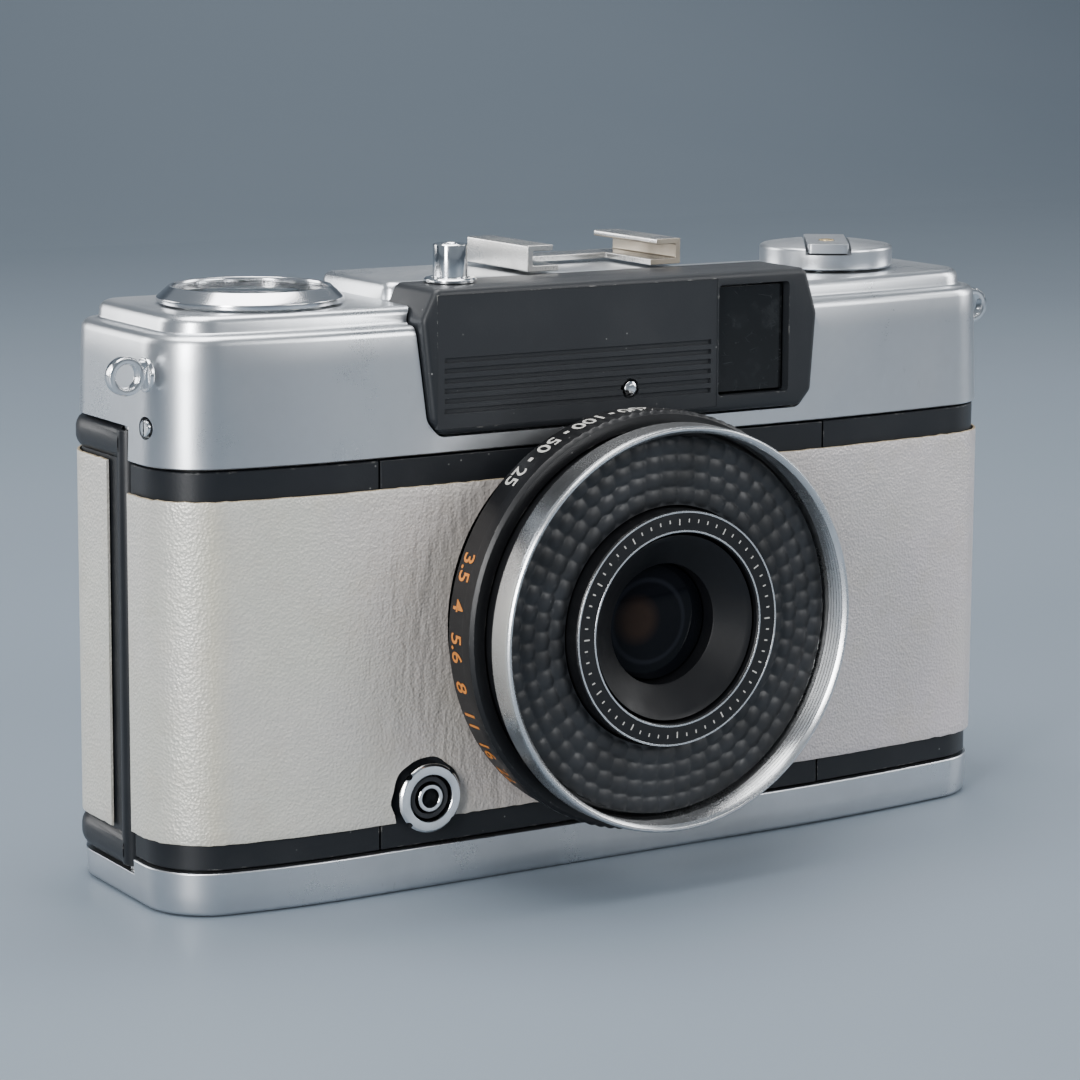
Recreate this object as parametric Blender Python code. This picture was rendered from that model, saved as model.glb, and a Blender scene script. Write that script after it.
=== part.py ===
"""Half frame viewfinder camera with a selenium cell ring, a hinged back and an accessory shoe.

Frame: +Z up, -Y is the front that the lens points to, +X is the right-hand side seen from the front.
The origin lies on the underside of the base plate, below the lens axis and at the middle of the body's
depth. Dimensions are in millimetres and are turned into metres where meshes are made.
"""
import math

import bmesh
import bpy
from mathutils import Matrix, Vector

MM = 0.001

# ---------------------------------------------------------------- driving dimensions, millimetres
CORNER_STEPS, SWEEP_STEPS = 6, 4     # segments on a corner and on a long sweep of the outline
LEFT, RIGHT = -54.5, 59.0            # ends of the body, without the strap lugs
FRONT, BACK = -15.0, 15.0            # flat front face and rear face of the body
FRONT_SLOPE_LEFT = (-39.5, 0.176)    # where the left end starts to sweep back, and its slope
FRONT_SLOPE_RIGHT = (36.9, 0.1185)
SWEEP_RADIUS_LEFT, SWEEP_RADIUS_RIGHT = 90.0, 250.0
FRONT_CORNER, BACK_CORNER = 8.0, 6.5
GAP = 0.3                            # clearance between neighbouring pieces
RECESS = 0.3                         # the black bands lie this far inside the silver covers

BASE_TOP = 5.0
LEATHER_BOTTOM, LEATHER_TOP = 8.1, 46.3
COVER_BOTTOM = 49.65
SHOULDER = 63.9
PLATEAU = 65.95
DECK = 68.0
SHEET = 0.9                          # wall of the drawn metal covers

SEAM_LEFT, SEAM_RIGHT = -29.5, 30.6  # edges of the front plate
DOOR_FRONT = -2.8                    # front edge of the door on both ends of the body
DOOR_BOTTOM, DOOR_TOP = 3.6, 53.2
DOOR_WALL = 1.2
HINGE = (-53.4, -1.1)                # hinge axis, x and y

LENS_Z = 30.1
RING_RADIUS = 24.0
FILTER_RADIUS = 23.0
BLADE_PIVOT = 8.2                    # both shutter blades turn about this x, level with the lens axis
FILM_PLANE = 11.4

CASSETTE = (41.7, 0.2, 12.8)         # x, y and radius of the cassette chamber
TAKE_UP = (-39.3, 0.2, 10.8)
SPROCKET = (-20.5, 8.0)
WHEEL = (-38.3, 5.6, 10.9)           # thumb wheel: x, y, radius
COUNTER = (-38.3, -0.8)
REWIND = (41.7, 0.2)
CRANK_TURN = -34                     # the folded crank points this way, in degrees
BUTTON = (-17.9, -9.9)
FINDER_X, FINDER_Z = 19.7, 60.0
HOOD_BACK = -7.0                     # rear edge of the black deck
TRIPOD = (-12.0, 1.0)
RELEASE = (-30.0, 6.0)
FLASH_SOCKET = (-24.0, 10.84)        # x and z

FINISHES = {
    "satin_chrome": ((0.62, 0.64, 0.66), 0.9, 0.32),
    "polished": ((0.78, 0.79, 0.80), 1.0, 0.12),
    "black_paint": ((0.018, 0.019, 0.021), 0.0, 0.38),
    "black_plastic": ((0.02, 0.021, 0.024), 0.0, 0.3),
    "leather": ((0.56, 0.55, 0.53), 0.0, 0.55),
    "steel": ((0.5, 0.5, 0.5), 1.0, 0.35),
    "brass": ((0.55, 0.42, 0.2), 1.0, 0.35),
    "glass": ((0.03, 0.03, 0.035), 0.0, 0.05),
    "cell": ((0.05, 0.052, 0.058), 0.0, 0.2),
    "white": ((0.8, 0.8, 0.78), 0.0, 0.4),
}


# ---------------------------------------------------------------- outlines
def arc(cx, cy, radius, start, end, steps):
    """Points on an arc, angles in degrees."""
    angles = [math.radians(start + (end - start) * i / steps) for i in range(steps + 1)]
    return [(cx + radius * math.cos(a), cy + radius * math.sin(a)) for a in angles]


def fillet(before, corner, after, radius, steps):
    """Arc of a radius that joins the two edges meeting at a corner."""
    corner = Vector(corner)
    to_before = (Vector(before) - corner).normalized()
    to_after = (Vector(after) - corner).normalized()
    half = to_before.angle(to_after) / 2
    centre = corner + (to_before + to_after).normalized() * (radius / math.sin(half))
    reach = radius / math.tan(half)
    first = corner + to_before * reach - centre
    last = corner + to_after * reach - centre
    start = math.degrees(math.atan2(first.y, first.x))
    turn = math.degrees(math.atan2(first.cross(last), first.dot(last)))
    return arc(centre.x, centre.y, radius, start, start + turn, steps)


def rounded(corners, inset=0.0):
    """Anticlockwise outline with rounded corners, moved inwards by inset."""
    edges = []
    for (x0, y0, *_), (x1, y1, *_) in zip(corners, corners[1:] + corners[:1]):
        along = Vector((x1 - x0, y1 - y0)).normalized()
        inward = Vector((-along.y, along.x))
        edges.append((Vector((x0, y0)) + inward * inset, along))
    moved = []
    for index in range(len(corners)):
        (p, d), (q, e) = edges[index - 1], edges[index]
        moved.append(p + d * ((q - p).cross(e) / d.cross(e)))
    points = []
    for index, (_, _, radius, steps) in enumerate(corners):
        nearest = max(radius - inset, 0.2)
        around = (moved[index - 1], moved[index], moved[(index + 1) % len(moved)])
        points += fillet(*around, nearest, steps)
    return points


def body_corners():
    """Corners of the body seen from above, starting at the front left."""
    x_left, slope_left = FRONT_SLOPE_LEFT
    x_right, slope_right = FRONT_SLOPE_RIGHT
    return [
        (LEFT, FRONT + (x_left - LEFT) * slope_left, FRONT_CORNER, CORNER_STEPS),
        (x_left, FRONT, SWEEP_RADIUS_LEFT, SWEEP_STEPS),
        (x_right, FRONT, SWEEP_RADIUS_RIGHT, SWEEP_STEPS),
        (RIGHT, FRONT + (RIGHT - x_right) * slope_right, FRONT_CORNER, CORNER_STEPS),
        (RIGHT, BACK, BACK_CORNER, CORNER_STEPS),
        (LEFT, BACK, BACK_CORNER, CORNER_STEPS),
    ]


def body_outline(inset=0.0):
    return rounded(body_corners(), inset)


def rectangle(x0, y0, x1, y1, radius, inset=0.0, steps=3):
    corners = [(x0, y0), (x1, y0), (x1, y1), (x0, y1)]
    return rounded([(x, y, radius, steps) for x, y in corners], inset)


def back_path(inset, front_y):
    """Open path from the left side round the back to the right side."""
    radius = BACK_CORNER - inset
    left_arc = arc(LEFT + BACK_CORNER, BACK - BACK_CORNER, radius, 180, 90, CORNER_STEPS)
    right_arc = arc(RIGHT - BACK_CORNER, BACK - BACK_CORNER, radius, 90, 0, CORNER_STEPS)
    return [(LEFT + inset, front_y), *left_arc, *right_arc, (RIGHT - inset, front_y)]


def front_path(inset, side, end_x, end_y):
    """Open path along the front from end_x, round one front corner, to end_y on that side."""
    outline = body_outline(inset)
    corner_points, sweep_points = CORNER_STEPS + 1, SWEEP_STEPS + 1
    middle = corner_points + sweep_points
    if side < 0:
        corner, sweep = outline[:corner_points], outline[corner_points:middle]
        sweep = [p for p in sweep if p[0] < end_x]
        return [(LEFT + inset, end_y), *corner, *sweep, (end_x, FRONT + inset)]
    sweep = [p for p in outline[middle : middle + sweep_points] if p[0] > end_x]
    corner = outline[middle + sweep_points :][:corner_points]
    return [(end_x, FRONT + inset), *sweep, *corner, (RIGHT - inset, end_y)]


def toothed(cx, cy, radius, depth, teeth):
    """Outline of a knurled or toothed disc."""
    points = []
    for index in range(teeth * 4):
        angle = 2 * math.pi * index / (teeth * 4)
        reach = radius if index % 4 in (0, 1) else radius - depth
        points.append((cx + reach * math.cos(angle), cy + reach * math.sin(angle)))
    return points


# ---------------------------------------------------------------- solids
def clear_scene():
    for thing in list(bpy.data.objects):
        bpy.data.objects.remove(thing, do_unlink=True)


def finish_material(name, finish):
    colour, metallic, roughness = FINISHES[finish]
    material = bpy.data.materials.new(name)
    material.use_nodes = True
    shader = material.node_tree.nodes["Principled BSDF"]
    shader.inputs["Base Color"].default_value = (*colour, 1.0)
    shader.inputs["Metallic"].default_value = metallic
    shader.inputs["Roughness"].default_value = roughness
    material.diffuse_color = (*colour, 1.0)
    return material


def make(name, points, faces, finish=None):
    """Object from points in millimetres; without a finish it is a hidden cutter."""
    work = bmesh.new()
    corners = [work.verts.new(Vector(p) * MM) for p in points]
    for face in faces:
        work.faces.new([corners[i] for i in face])
    bmesh.ops.recalc_face_normals(work, faces=work.faces)
    mesh = bpy.data.meshes.new(name)
    work.to_mesh(mesh)
    work.free()
    mesh.shade_smooth()
    mesh.set_sharp_from_angle(angle=math.radians(35))
    thing = bpy.data.objects.new(name, mesh)
    bpy.context.collection.objects.link(thing)
    if finish is None:
        thing.hide_render = True
        thing.display_type = "WIRE"
    else:
        mesh.materials.append(finish_material(name, finish))
    return thing


def loft(name, rings, finish=None):
    """Closed solid through rings of equally many points, capped at both ends."""
    count = len(rings[0])
    points = [p for ring in rings for p in ring]
    faces = [list(range(count))[::-1], [len(points) - count + i for i in range(count)]]
    for level in range(len(rings) - 1):
        low, high = level * count, (level + 1) * count
        for i in range(count):
            j = (i + 1) % count
            faces.append([low + i, low + j, high + j, high + i])
    return make(name, points, faces, finish)


def prism(name, outline, bottom, top, finish=None):
    """Upright extrusion of an outline in X and Y."""
    return loft(name, [[(x, y, z) for x, y in outline] for z in (bottom, top)], finish)


def stack(name, outline_at, levels, finish=None):
    """Loft upwards through (height, inset) levels of an outline function."""
    return loft(name, [[(x, y, z) for x, y in outline_at(inset)] for z, inset in levels], finish)


def plate(name, outline, front, back, finish=None):
    """Extrusion along Y of an outline in X and Z."""
    return loft(name, [[(x, y, z) for x, z in outline] for y in (front, back)], finish)


def box(name, low, high, finish=None):
    (x0, y0, z0), (x1, y1, z1) = low, high
    return prism(name, [(x0, y0), (x1, y0), (x1, y1), (x0, y1)], z0, z1, finish)


def turned(name, profile, centre, axis="Z", finish=None, segments=48, closed=False):
    """Turned solid. The profile holds (radius, place along the axis); closed makes a ring."""
    points, rows = [], []
    for radius, along in profile:
        row = []
        for index in range(segments if radius > 0 else 1):
            angle = 2 * math.pi * index / segments
            u, v = radius * math.cos(angle), radius * math.sin(angle)
            spot = {
                "X": (along, centre[0] + u, centre[1] + v),
                "Y": (centre[0] + u, along, centre[1] + v),
                "Z": (centre[0] + u, centre[1] + v, along),
            }[axis]
            row.append(len(points))
            points.append(spot)
        rows.append(row)
    faces = []
    for first, second in zip(rows, rows[1:] + rows[:1] if closed else rows[1:]):
        for index in range(segments):
            after = (index + 1) % segments
            if len(first) == 1:
                faces.append([first[0], second[after], second[index]])
            elif len(second) == 1:
                faces.append([first[index], first[after], second[0]])
            else:
                faces.append([first[index], first[after], second[after], second[index]])
    return make(name, points, faces, finish)


def cylinder(name, radius, start, end, centre, axis="Z", finish=None, segments=32):
    profile = [(0, start), (radius, start), (radius, end), (0, end)]
    return turned(name, profile, centre, axis, finish, segments)


def tube(name, inner, outer, start, end, centre, axis="Z", finish=None, segments=28):
    profile = [(inner, start), (outer, start), (outer, end), (inner, end)]
    return turned(name, profile, centre, axis, finish, segments, closed=True)


def combine(target, other, operation):
    other.hide_render = True
    other.display_type = "WIRE"
    modifier = target.modifiers.new(other.name, "BOOLEAN")
    modifier.operation = operation
    modifier.object = other
    modifier.solver = "EXACT"


def cut(target, *cutters):
    for cutter in cutters:
        combine(target, cutter, "DIFFERENCE")


def join(target, *others):
    for other in others:
        combine(target, other, "UNION")


def pivot(thing, point):
    """Put the object's origin on its joint, leaving the shape where it is."""
    shift = Vector(point) * MM
    thing.data.transform(Matrix.Translation(-shift))
    thing.location = shift


# ---------------------------------------------------------------- body
def make_chassis():
    """Cast frame with the cassette chamber, the take-up chamber and the light tunnel."""
    inner = SHEET + 0.5
    levels = [
        (1.6, inner),
        (BASE_TOP + GAP, inner),
        (BASE_TOP + GAP, RECESS),
        (COVER_BOTTOM - GAP, RECESS),
        (COVER_BOTTOM - GAP, inner),
        (53.5, inner),
    ]
    chassis = stack("chassis", body_outline, levels, "black_paint")
    door_space = box("door_space", (-70, DOOR_FRONT - GAP, 3.3), (75, 40, 60))
    cut(door_space, prism("door_core", body_outline(DOOR_WALL + 1.0), 0, 62))
    cut(chassis, door_space)
    cut(chassis, cylinder("hinge_relief", 1.85, 3.3, 60, HINGE, segments=24))
    cut(chassis, cylinder("pin_seat", 0.65, 0, 4, HINGE, segments=16))
    cut(
        chassis,
        box("plate_pocket", (SEAM_LEFT - GAP, -25, 5.0), (SEAM_RIGHT + GAP, -12.1, COVER_BOTTOM)),
        box("film_pocket", (-30.1, FILM_PLANE, 11.5), (31.2, 40, 48.7)),
    )
    for name, (x, y, radius), bottom, top in (
        ("cassette_chamber", CASSETTE, 7.5, 52.0),
        ("take_up_chamber", TAKE_UP, 9.0, 51.0),
        ("sprocket_chamber", (*SPROCKET, 5.0), 9.1, 50.9),
    ):
        outline = [*arc(x, y, radius, 180, 360, 14), (x + radius, 40), (x - radius, 40)]
        cut(chassis, prism(name, outline, bottom, top))
    cut(
        chassis,
        cylinder("barrel_bore", 14.5, -20, -3.0, (0, LENS_Z), "Y", segments=28),
        box("light_tunnel", (-9, -10.5, LENS_Z - 12), (9, 20, LENS_Z + 12)),
        cylinder("rewind_bore", 2.2, 50, 60, REWIND, segments=20),
        cylinder("tripod_seat", 4.5, 0, 6.2, TRIPOD, segments=28),
        cylinder("release_seat", 2.3, 0, 3.2, RELEASE, segments=20),
        box("latch_recess", (57.4, -7.2, 21.7), (65, -3.5, 38.3)),
    )
    return chassis


def make_front_plate():
    """Flat plate that carries the lens, between the two seams."""
    front_plate = box(
        "front_plate",
        (SEAM_LEFT, FRONT + RECESS, BASE_TOP + GAP),
        (SEAM_RIGHT, -12.4, COVER_BOTTOM - GAP),
        "black_paint",
    )
    cut(front_plate, cylinder("plate_bore", 16.0, -20, -10, (0, LENS_Z), "Y", segments=32))
    cut(front_plate, cylinder("socket_bore", 3.2, -20, -10, FLASH_SOCKET, "Y", segments=24))


def make_base():
    """Shallow drawn tray, cut down at the rear to let the door in."""
    base = stack("base_plate", body_outline, [(0, 0.9), (0.35, 0.35), (BASE_TOP, 0)], "satin_chrome")
    cut(base, stack("base_inside", body_outline, [(SHEET, SHEET + 0.2), (7, SHEET)]))
    cut(base, box("base_notch", (-70, DOOR_FRONT - GAP, DOOR_BOTTOM - GAP), (75, 40, 9)))
    cut(base, cylinder("base_pin_seat", 0.65, 1.8, 4, HINGE, segments=16))
    cut(base, cylinder("tripod_bore", 5.3, -1, 3, TRIPOD, segments=28))
    cut(base, cylinder("release_bore", 2.3, -1, 3, RELEASE, segments=24))
    for name, x in (("left", -46.0), ("right", 50.0)):
        cut(base, cylinder("base_screw_bore_" + name, 1.6, -1, 3, (x, 0), segments=20))
        profile = [(0, 0.2), (1.3, 0.2), (1.3, 0.7), (0.7, 0.9), (0.7, 1.3), (0, 1.3)]
        screw = turned("base_screw_" + name, profile, (x, 0), finish="steel", segments=20)
        slot = box("base_slot_" + name, (x - 2, -0.2, 0.0), (x + 2, 0.2, 0.45))
        cut(screw, slot)


def make_tripod_socket():
    profile = [(3.15, 0), (5.0, 0), (5.0, 1.3), (4.2, 1.3), (4.2, 5.8), (3.15, 5.8)]
    turned("tripod_socket", profile, TRIPOD, finish="steel", segments=28, closed=True)


def make_rewind_release():
    profile = [(0, 0.15), (1.7, 0.15), (2.0, 0.4), (2.0, 1.1), (0, 1.1)]
    release = turned("rewind_release_button", profile, RELEASE, finish="polished", segments=28)
    pivot(release, (*RELEASE, 0.15))


def make_cover():
    """Drawn top cover with a shoulder, a plateau and a raised middle behind the finder hood."""
    levels = [
        (COVER_BOTTOM, 0),
        (60.0, 0.35),
        (63.0, 0.5),
        (63.6, 0.75),
        (SHOULDER, 1.3),
        (64.0, 2.1),
        (64.25, 2.35),
        (65.2, 2.5),
        (65.7, 2.8),
        (PLATEAU, 3.5),
    ]
    cover = stack("top_cover", body_outline, levels, "satin_chrome")
    raised_corners = (-24.3, HOOD_BACK + GAP, 16.5, 10.5)

    def raised(inset):
        return rectangle(*raised_corners, 2.0, inset)

    join(cover, stack("raised_middle", raised, [(64.6, 0), (67.2, 0.5), (67.75, 0.9), (67.9, 1.6)]))
    inside = [(45, SHEET), (62.6, SHEET + 0.5), (62.9, SHEET + 2.4), (PLATEAU - SHEET, SHEET + 2.9)]
    cut(cover, stack("cover_inside", body_outline, inside))
    cut(cover, stack("raised_inside", lambda inset: raised(inset + SHEET), [(62, 0), (67.0, 0.6)]))
    cut(cover, plate("hood_opening", hood_outline(-GAP), -20, HOOD_BACK + GAP))
    cut(
        cover,
        cylinder("counter_bore", 8.8, 60, 70, COUNTER, segments=28),
        cylinder("rewind_well", 4.6, 60, 70, REWIND, segments=24),
        box("cover_notch", (-70, DOOR_FRONT - GAP, 40), (75, 40, DOOR_TOP + GAP)),
        box("wheel_slot", (WHEEL[0] - 7.6, 8, 50), (WHEEL[0] + 7.6, 20, 58.9)),
        box("eyepiece_opening", (FINDER_X - 4.7, 8, FINDER_Z - 3.4), (FINDER_X + 4.7, 20, FINDER_Z + 3.4)),
    )
    for name, x, length in (("left", LEFT, -1), ("right", RIGHT, 1)):
        start, end = sorted((x - 4 * length, x + 4 * length))
        place = (-7.0, 53.8)
        cut(cover, cylinder("side_screw_bore_" + name, 1.25, start, end, place, "X", segments=20))


def make_side_screws():
    for name, x, side in (("left", LEFT, -1), ("right", RIGHT, 1)):
        face = x - 0.05 * side
        profile = [(0, face), (0.95, face), (0.95, face - 1.0 * side), (0, face - 1.0 * side)]
        screw = turned("cover_screw_" + name, profile, (-7.0, 53.8), "X", "steel", 20)
        low, high = sorted((face - 0.4 * side, face + side))
        cut(screw, box("side_slot_" + name, (low, -7.15, 52), (high, -6.85, 56)))


def lug(name, x, y, z, side):
    """Cast eyelet: a round flange on the wall and a flat tab with a hole through it."""
    eye = x + 2.95 * side
    flange = [(0, x + 0.3 * side), (1.9, x + 0.3 * side), (1.7, x + 0.9 * side), (0, x + 0.9 * side)]
    body = turned(name, flange, (y, z), "X", "polished", 20)
    start, end = sorted((x + 0.6 * side, eye))
    neck = box(name + "_neck", (start, y - 0.7, z - 1.7), (end, y + 0.7, z + 1.7))
    join(body, neck, cylinder(name + "_eye", 2.15, y - 0.7, y + 0.7, (eye, z), "Y", segments=20))
    cut(body, cylinder(name + "_hole", 1.35, y - 3, y + 3, (eye, z), "Y", segments=16))


def hood_outline(inset=0.0):
    """Finder hood seen from the front, x and z, anticlockwise."""
    corners = [
        (-22.1, 51.7, 1.2, 2),
        (26.6, 51.7, 1.0, 2),
        (28.2, 53.4, 1.0, 2),
        (28.9, 62.7, 1.5, 2),
        (27.2, DECK, 0.9, 3),
        (-23.1, DECK, 0.9, 3),
        (-24.8, 64.6, 1.5, 2),
        (-23.5, 53.4, 1.2, 2),
    ]
    return rounded(corners, inset)


def make_hood():
    """Black finder hood that fills the opening of the cover and forms the front of the deck."""
    hood = plate("finder_hood", hood_outline(), FRONT - 0.8, HOOD_BACK, "black_plastic")
    cut(hood, box("hood_inside", (-23.0, FRONT + 1.0, 40), (27.0, 5, 66.9)))
    cut(hood, box("hood_skirt", (-40, FRONT + 1.0, 40), (40, 5, 53.9)))
    low, high = (FINDER_X - 5.0, -30, 53.5), (FINDER_X + 5.0, 5, 66.6)
    cut(hood, box("hood_window", low, high))
    cut(hood, box("trim_recess", (-22.9, -30, 52.4), (14.5, FRONT + 0.1, 67.3)))
    cut(hood, cylinder("collar_bore", 2.5, 60, 75, BUTTON, segments=32))
    trim = box("trim_plate", (-22.6, FRONT - 0.75, 52.7), (14.2, FRONT - 0.2, 67.0), "black_plastic")
    grooves = 6
    for index in range(grooves):
        z = 54.1 + 1.13 * index
        groove = box(f"trim_groove_{index}", (-23.5, FRONT - 2, z), (13.6, FRONT - 0.5, z + 0.5))
        cut(trim, groove)
    cut(trim, cylinder("trim_screw_bore", 1.15, -20, -10, (2.6, 55.3), "Y", segments=24))
    profile = [(0, -16.0), (0.5, -16.0), (0.85, -15.8), (0.85, -15.25), (0, -15.25)]
    turned("trim_screw", profile, (2.6, 55.3), "Y", "polished", 24)


def make_finder():
    """Window, tube and eyepiece of the viewfinder."""
    x, z = FINDER_X, FINDER_Z
    box("finder_window", (x - 4.7, FRONT + 0.2, 53.8), (x + 4.7, FRONT + 1.2, 66.3), "glass")
    finder = box("finder_tube", (x - 5.6, FRONT + 2.0, 54.2), (x + 5.6, 11.2, 64.7), "black_plastic")
    cut(finder, box("finder_bore", (x - 4.4, -20, 55.4), (x + 4.4, 20, 63.8)))
    frame = box("eyepiece_frame", (x - 4.4, 12.4, z - 3.1), (x + 4.4, 15.6, z + 3.1), "black_plastic")
    cut(frame, box("eyepiece_bore", (x - 3.3, 5, z - 2.2), (x + 3.3, 20, z + 2.2)))
    box("eyepiece_lens", (x - 3.0, 13.4, z - 1.9), (x + 3.0, 14.9, z + 1.9), "glass")


# ---------------------------------------------------------------- top controls
def make_shutter_button():
    x, y = BUTTON
    flange = DECK + 0.1
    profile = [(2.1, 66.4), (2.35, 66.4), (2.35, flange), (2.95, flange), (2.95, 68.5), (2.1, 68.6)]
    turned("button_collar", profile, (x, y), finish="polished", segments=28, closed=True)
    profile = [(0, 60.0), (1.2, 60.0), (1.2, 66.0), (1.95, 66.0), (1.95, 72.3), (1.85, 72.4), (0, 72.4)]
    button = turned("shutter_button", profile, (x, y), finish="polished", segments=24)
    cut(button, cylinder("cable_socket", 0.9, 70.0, 75, (x, y), segments=12))
    pivot(button, (x, y, 72.4))


def make_counter():
    profile = [(8.6, 66.2), (10.4, 66.2), (10.4, 67.0), (9.0, 67.95), (8.6, 67.95)]
    turned("counter_bezel", profile, COUNTER, finish="polished", segments=40, closed=True)
    cylinder("counter_window", 8.3, 66.9, 67.4, COUNTER, finish="glass", segments=32)
    disc = turned(
        "counter_disc",
        [(0, 62.0), (1.0, 62.0), (1.0, 64.5), (8.1, 64.5), (8.1, 65.1), (0, 65.1)],
        COUNTER,
        finish="white",
        segments=28,
    )
    pivot(disc, (*COUNTER, 65.1))


def make_advance():
    """Knurled thumb wheel in the rear slot, take-up spool and film sprocket."""
    x, y, radius = WHEEL
    wheel = prism("advance_wheel", toothed(x, y, radius, 0.5, 24), 54.4, 58.2, "black_plastic")
    pivot(wheel, (x, y, 54.4))
    x, y, _ = TAKE_UP
    flange, core = 9.6, 3.9
    profile = [(0, 9.6), (flange, 9.6), (flange, 10.6), (core, 10.9)]
    profile += [(core, 49.1), (flange, 49.4), (flange, 50.4), (0, 50.4)]
    spool = turned("take_up_spool", profile, (x, y), finish="black_plastic", segments=28)
    cut(spool, box("spool_slot", (x - 8, y - 0.6, 16), (x + 8, y + 0.6, 44)))
    pivot(spool, (x, y, 9.6))
    x, y = SPROCKET
    sprocket = cylinder("film_sprocket", 2.3, 9.6, 50.4, (x, y), finish="black_plastic", segments=16)
    for name, z in (("lower", 14.6), ("upper", 43.0)):
        join(sprocket, prism("teeth_" + name, toothed(x, y, 4.2, 0.9, 8), z, z + 2.4))
    pivot(sprocket, (x, y, 9.6))


def spun(points):
    """Points turned about the rewind axis, from the Y direction to where the crank rests."""
    x, y = REWIND
    c, s = math.cos(math.radians(CRANK_TURN)), math.sin(math.radians(CRANK_TURN))
    return [(x + c * (px - x) - s * (py - y), y + s * (px - x) + c * (py - y)) for px, py in points]


def make_rewind():
    """Rewind knob with a folding crank; the whole stack lifts to free the cassette."""
    x, y = REWIND
    sleeve = tube("rewind_sleeve", 1.9, 3.2, 54.2, 61.8, (x, y), finish="steel", segments=32)
    pivot(sleeve, (x, y, 54.2))
    profile = [(0, 62.5), (4.2, 62.5), (4.2, 66.25), (7.9, 66.25), (8.15, 66.5), (8.15, 68.6)]
    profile += [(7.95, 68.8), (5.0, 69.25), (0, 69.5)]
    knob = turned("rewind_knob", profile, (x, y), finish="satin_chrome", segments=40)
    cut(knob, prism("crank_slot", spun(rectangle(x - 2.8, y - 9, x + 2.8, y + 9, 0.3)), 68.1, 75))
    cut(knob, prism("hinge_relief", spun(rectangle(x - 2.8, y + 3.4, x + 2.8, y + 9, 0.3)), 67.7, 75))
    cut(knob, prism("handle_pocket", spun(rectangle(x - 2.2, y - 4, x + 2.2, y + 0.8, 0.3)), 65.3, 75))
    pivot(knob, (x, y, 66.25))
    fork = cylinder("rewind_fork", 1.55, 46.5, 62.2, (x, y), finish="steel", segments=24)
    cut(fork, box("fork_gap", (x - 0.5, y - 3, 40), (x + 0.5, y + 3, 50)))
    pivot(fork, (x, y, 62.2))
    outline = spun(rectangle(x - 2.5, y - 7.4, x + 2.5, y + 6.6, 0.5))
    arm = prism("rewind_crank", outline, 68.3, 69.4, "satin_chrome")
    rivet = spun([(x, y - 1.4)])[0]
    hinge = spun([(x, y + 5.8)])[0]
    cut(arm, cylinder("rivet_bore", 1.1, 60, 75, rivet, segments=20))
    pivot(arm, (*hinge, 68.85))
    profile = [(0, 65.7), (1.5, 65.7), (1.8, 66.0), (1.8, 67.7), (1.5, 68.0), (0.8, 68.0)]
    profile += [(0.8, 69.45), (0.65, 69.55), (0, 69.55)]
    handle = turned("crank_handle", profile, rivet, finish="brass", segments=16)
    pivot(handle, (*rivet, 68.0))


def make_shoe():
    """Accessory shoe: two inward-facing channels joined by a bridge at the back."""
    low, high, front, back = -5.8, 15.3, HOOD_BACK + 0.2, 6.8
    floor, lip, wall = DECK + 0.25, 3.4, 0.7
    top = 71.3
    section = [
        (low, floor),
        (high, floor),
        (high, top),
        (high - lip, top),
        (high - lip, top - wall),
        (high - wall, top - wall),
        (high - wall, floor + wall),
        (low + wall, floor + wall),
        (low + wall, top - wall),
        (low + lip, top - wall),
        (low + lip, top),
        (low, top),
    ]
    shoe = plate("accessory_shoe", section, front, back, "satin_chrome")
    cut(shoe, box("shoe_opening", (low + 4.2, front - 1, 60), (high - 4.2, back - 4.0, 75)))


# ---------------------------------------------------------------- door
def make_door():
    """Hinged back: a wrap-round shell with rounded upper and lower lips and a hinge barrel."""
    lip, face, end = -0.35, RECESS, 0.7
    levels = [(DOOR_BOTTOM, end), (4.3, lip + 0.2), (5.0, lip), (6.2, lip), (6.9, lip + 0.25), (7.3, face)]
    levels += [(49.6, face), (50.0, lip + 0.25), (50.7, lip), (52.0, lip), (52.7, lip + 0.2)]
    levels += [(DOOR_TOP, end)]
    inner = RECESS + DOOR_WALL
    rings = []
    for z, inset in levels:
        outside = back_path(inset, HINGE[1])
        inside = back_path(inner, HINGE[1])[::-1]
        rings.append([(x, y, z) for x, y in outside + inside])
    door = loft("back_door", rings, "black_paint")
    low, high = DOOR_BOTTOM + 0.3, DOOR_TOP - 0.3
    join(door, cylinder("hinge_barrel", 1.35, low, high, HINGE, segments=24))
    cut(door, cylinder("hinge_bore", 0.75, 0, 60, HINGE, segments=16))
    pivot(door, (*HINGE, DOOR_BOTTOM))
    cylinder("hinge_pin", 0.45, 2.0, 53.4, HINGE, finish="steel", segments=16)


def make_pressure_plate():
    pad = box("pressure_plate", (-14.5, FILM_PLANE + 0.3, 14.5), (14.5, 12.4, 45.7), "black_paint")
    pivot(pad, (0, FILM_PLANE + 0.3, LENS_Z))
    spring_outline = [(-11, 12.9), (11, 12.9), (11, 13.2), (-11, 13.2)]
    prism("pressure_spring", spring_outline, 24.0, 36.0, "steel")


def make_latch():
    latch = box("door_latch", (57.7, -6.9, 24.0), (59.5, -3.8, 34.0), "satin_chrome")
    for index in range(5):
        z = 26.5 + 1.2 * index
        cut(latch, box(f"latch_groove_{index}", (59.2, -8, z), (61, -3, z + 0.5)))
    pivot(latch, (58.6, -5.35, 24.0))


# ---------------------------------------------------------------- covering
def covering(name, outside, inside, bottom, top):
    """Thin skin between an outer and an inner open path."""
    return prism(name, outside + inside[::-1], bottom, top, "leather")


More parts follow.
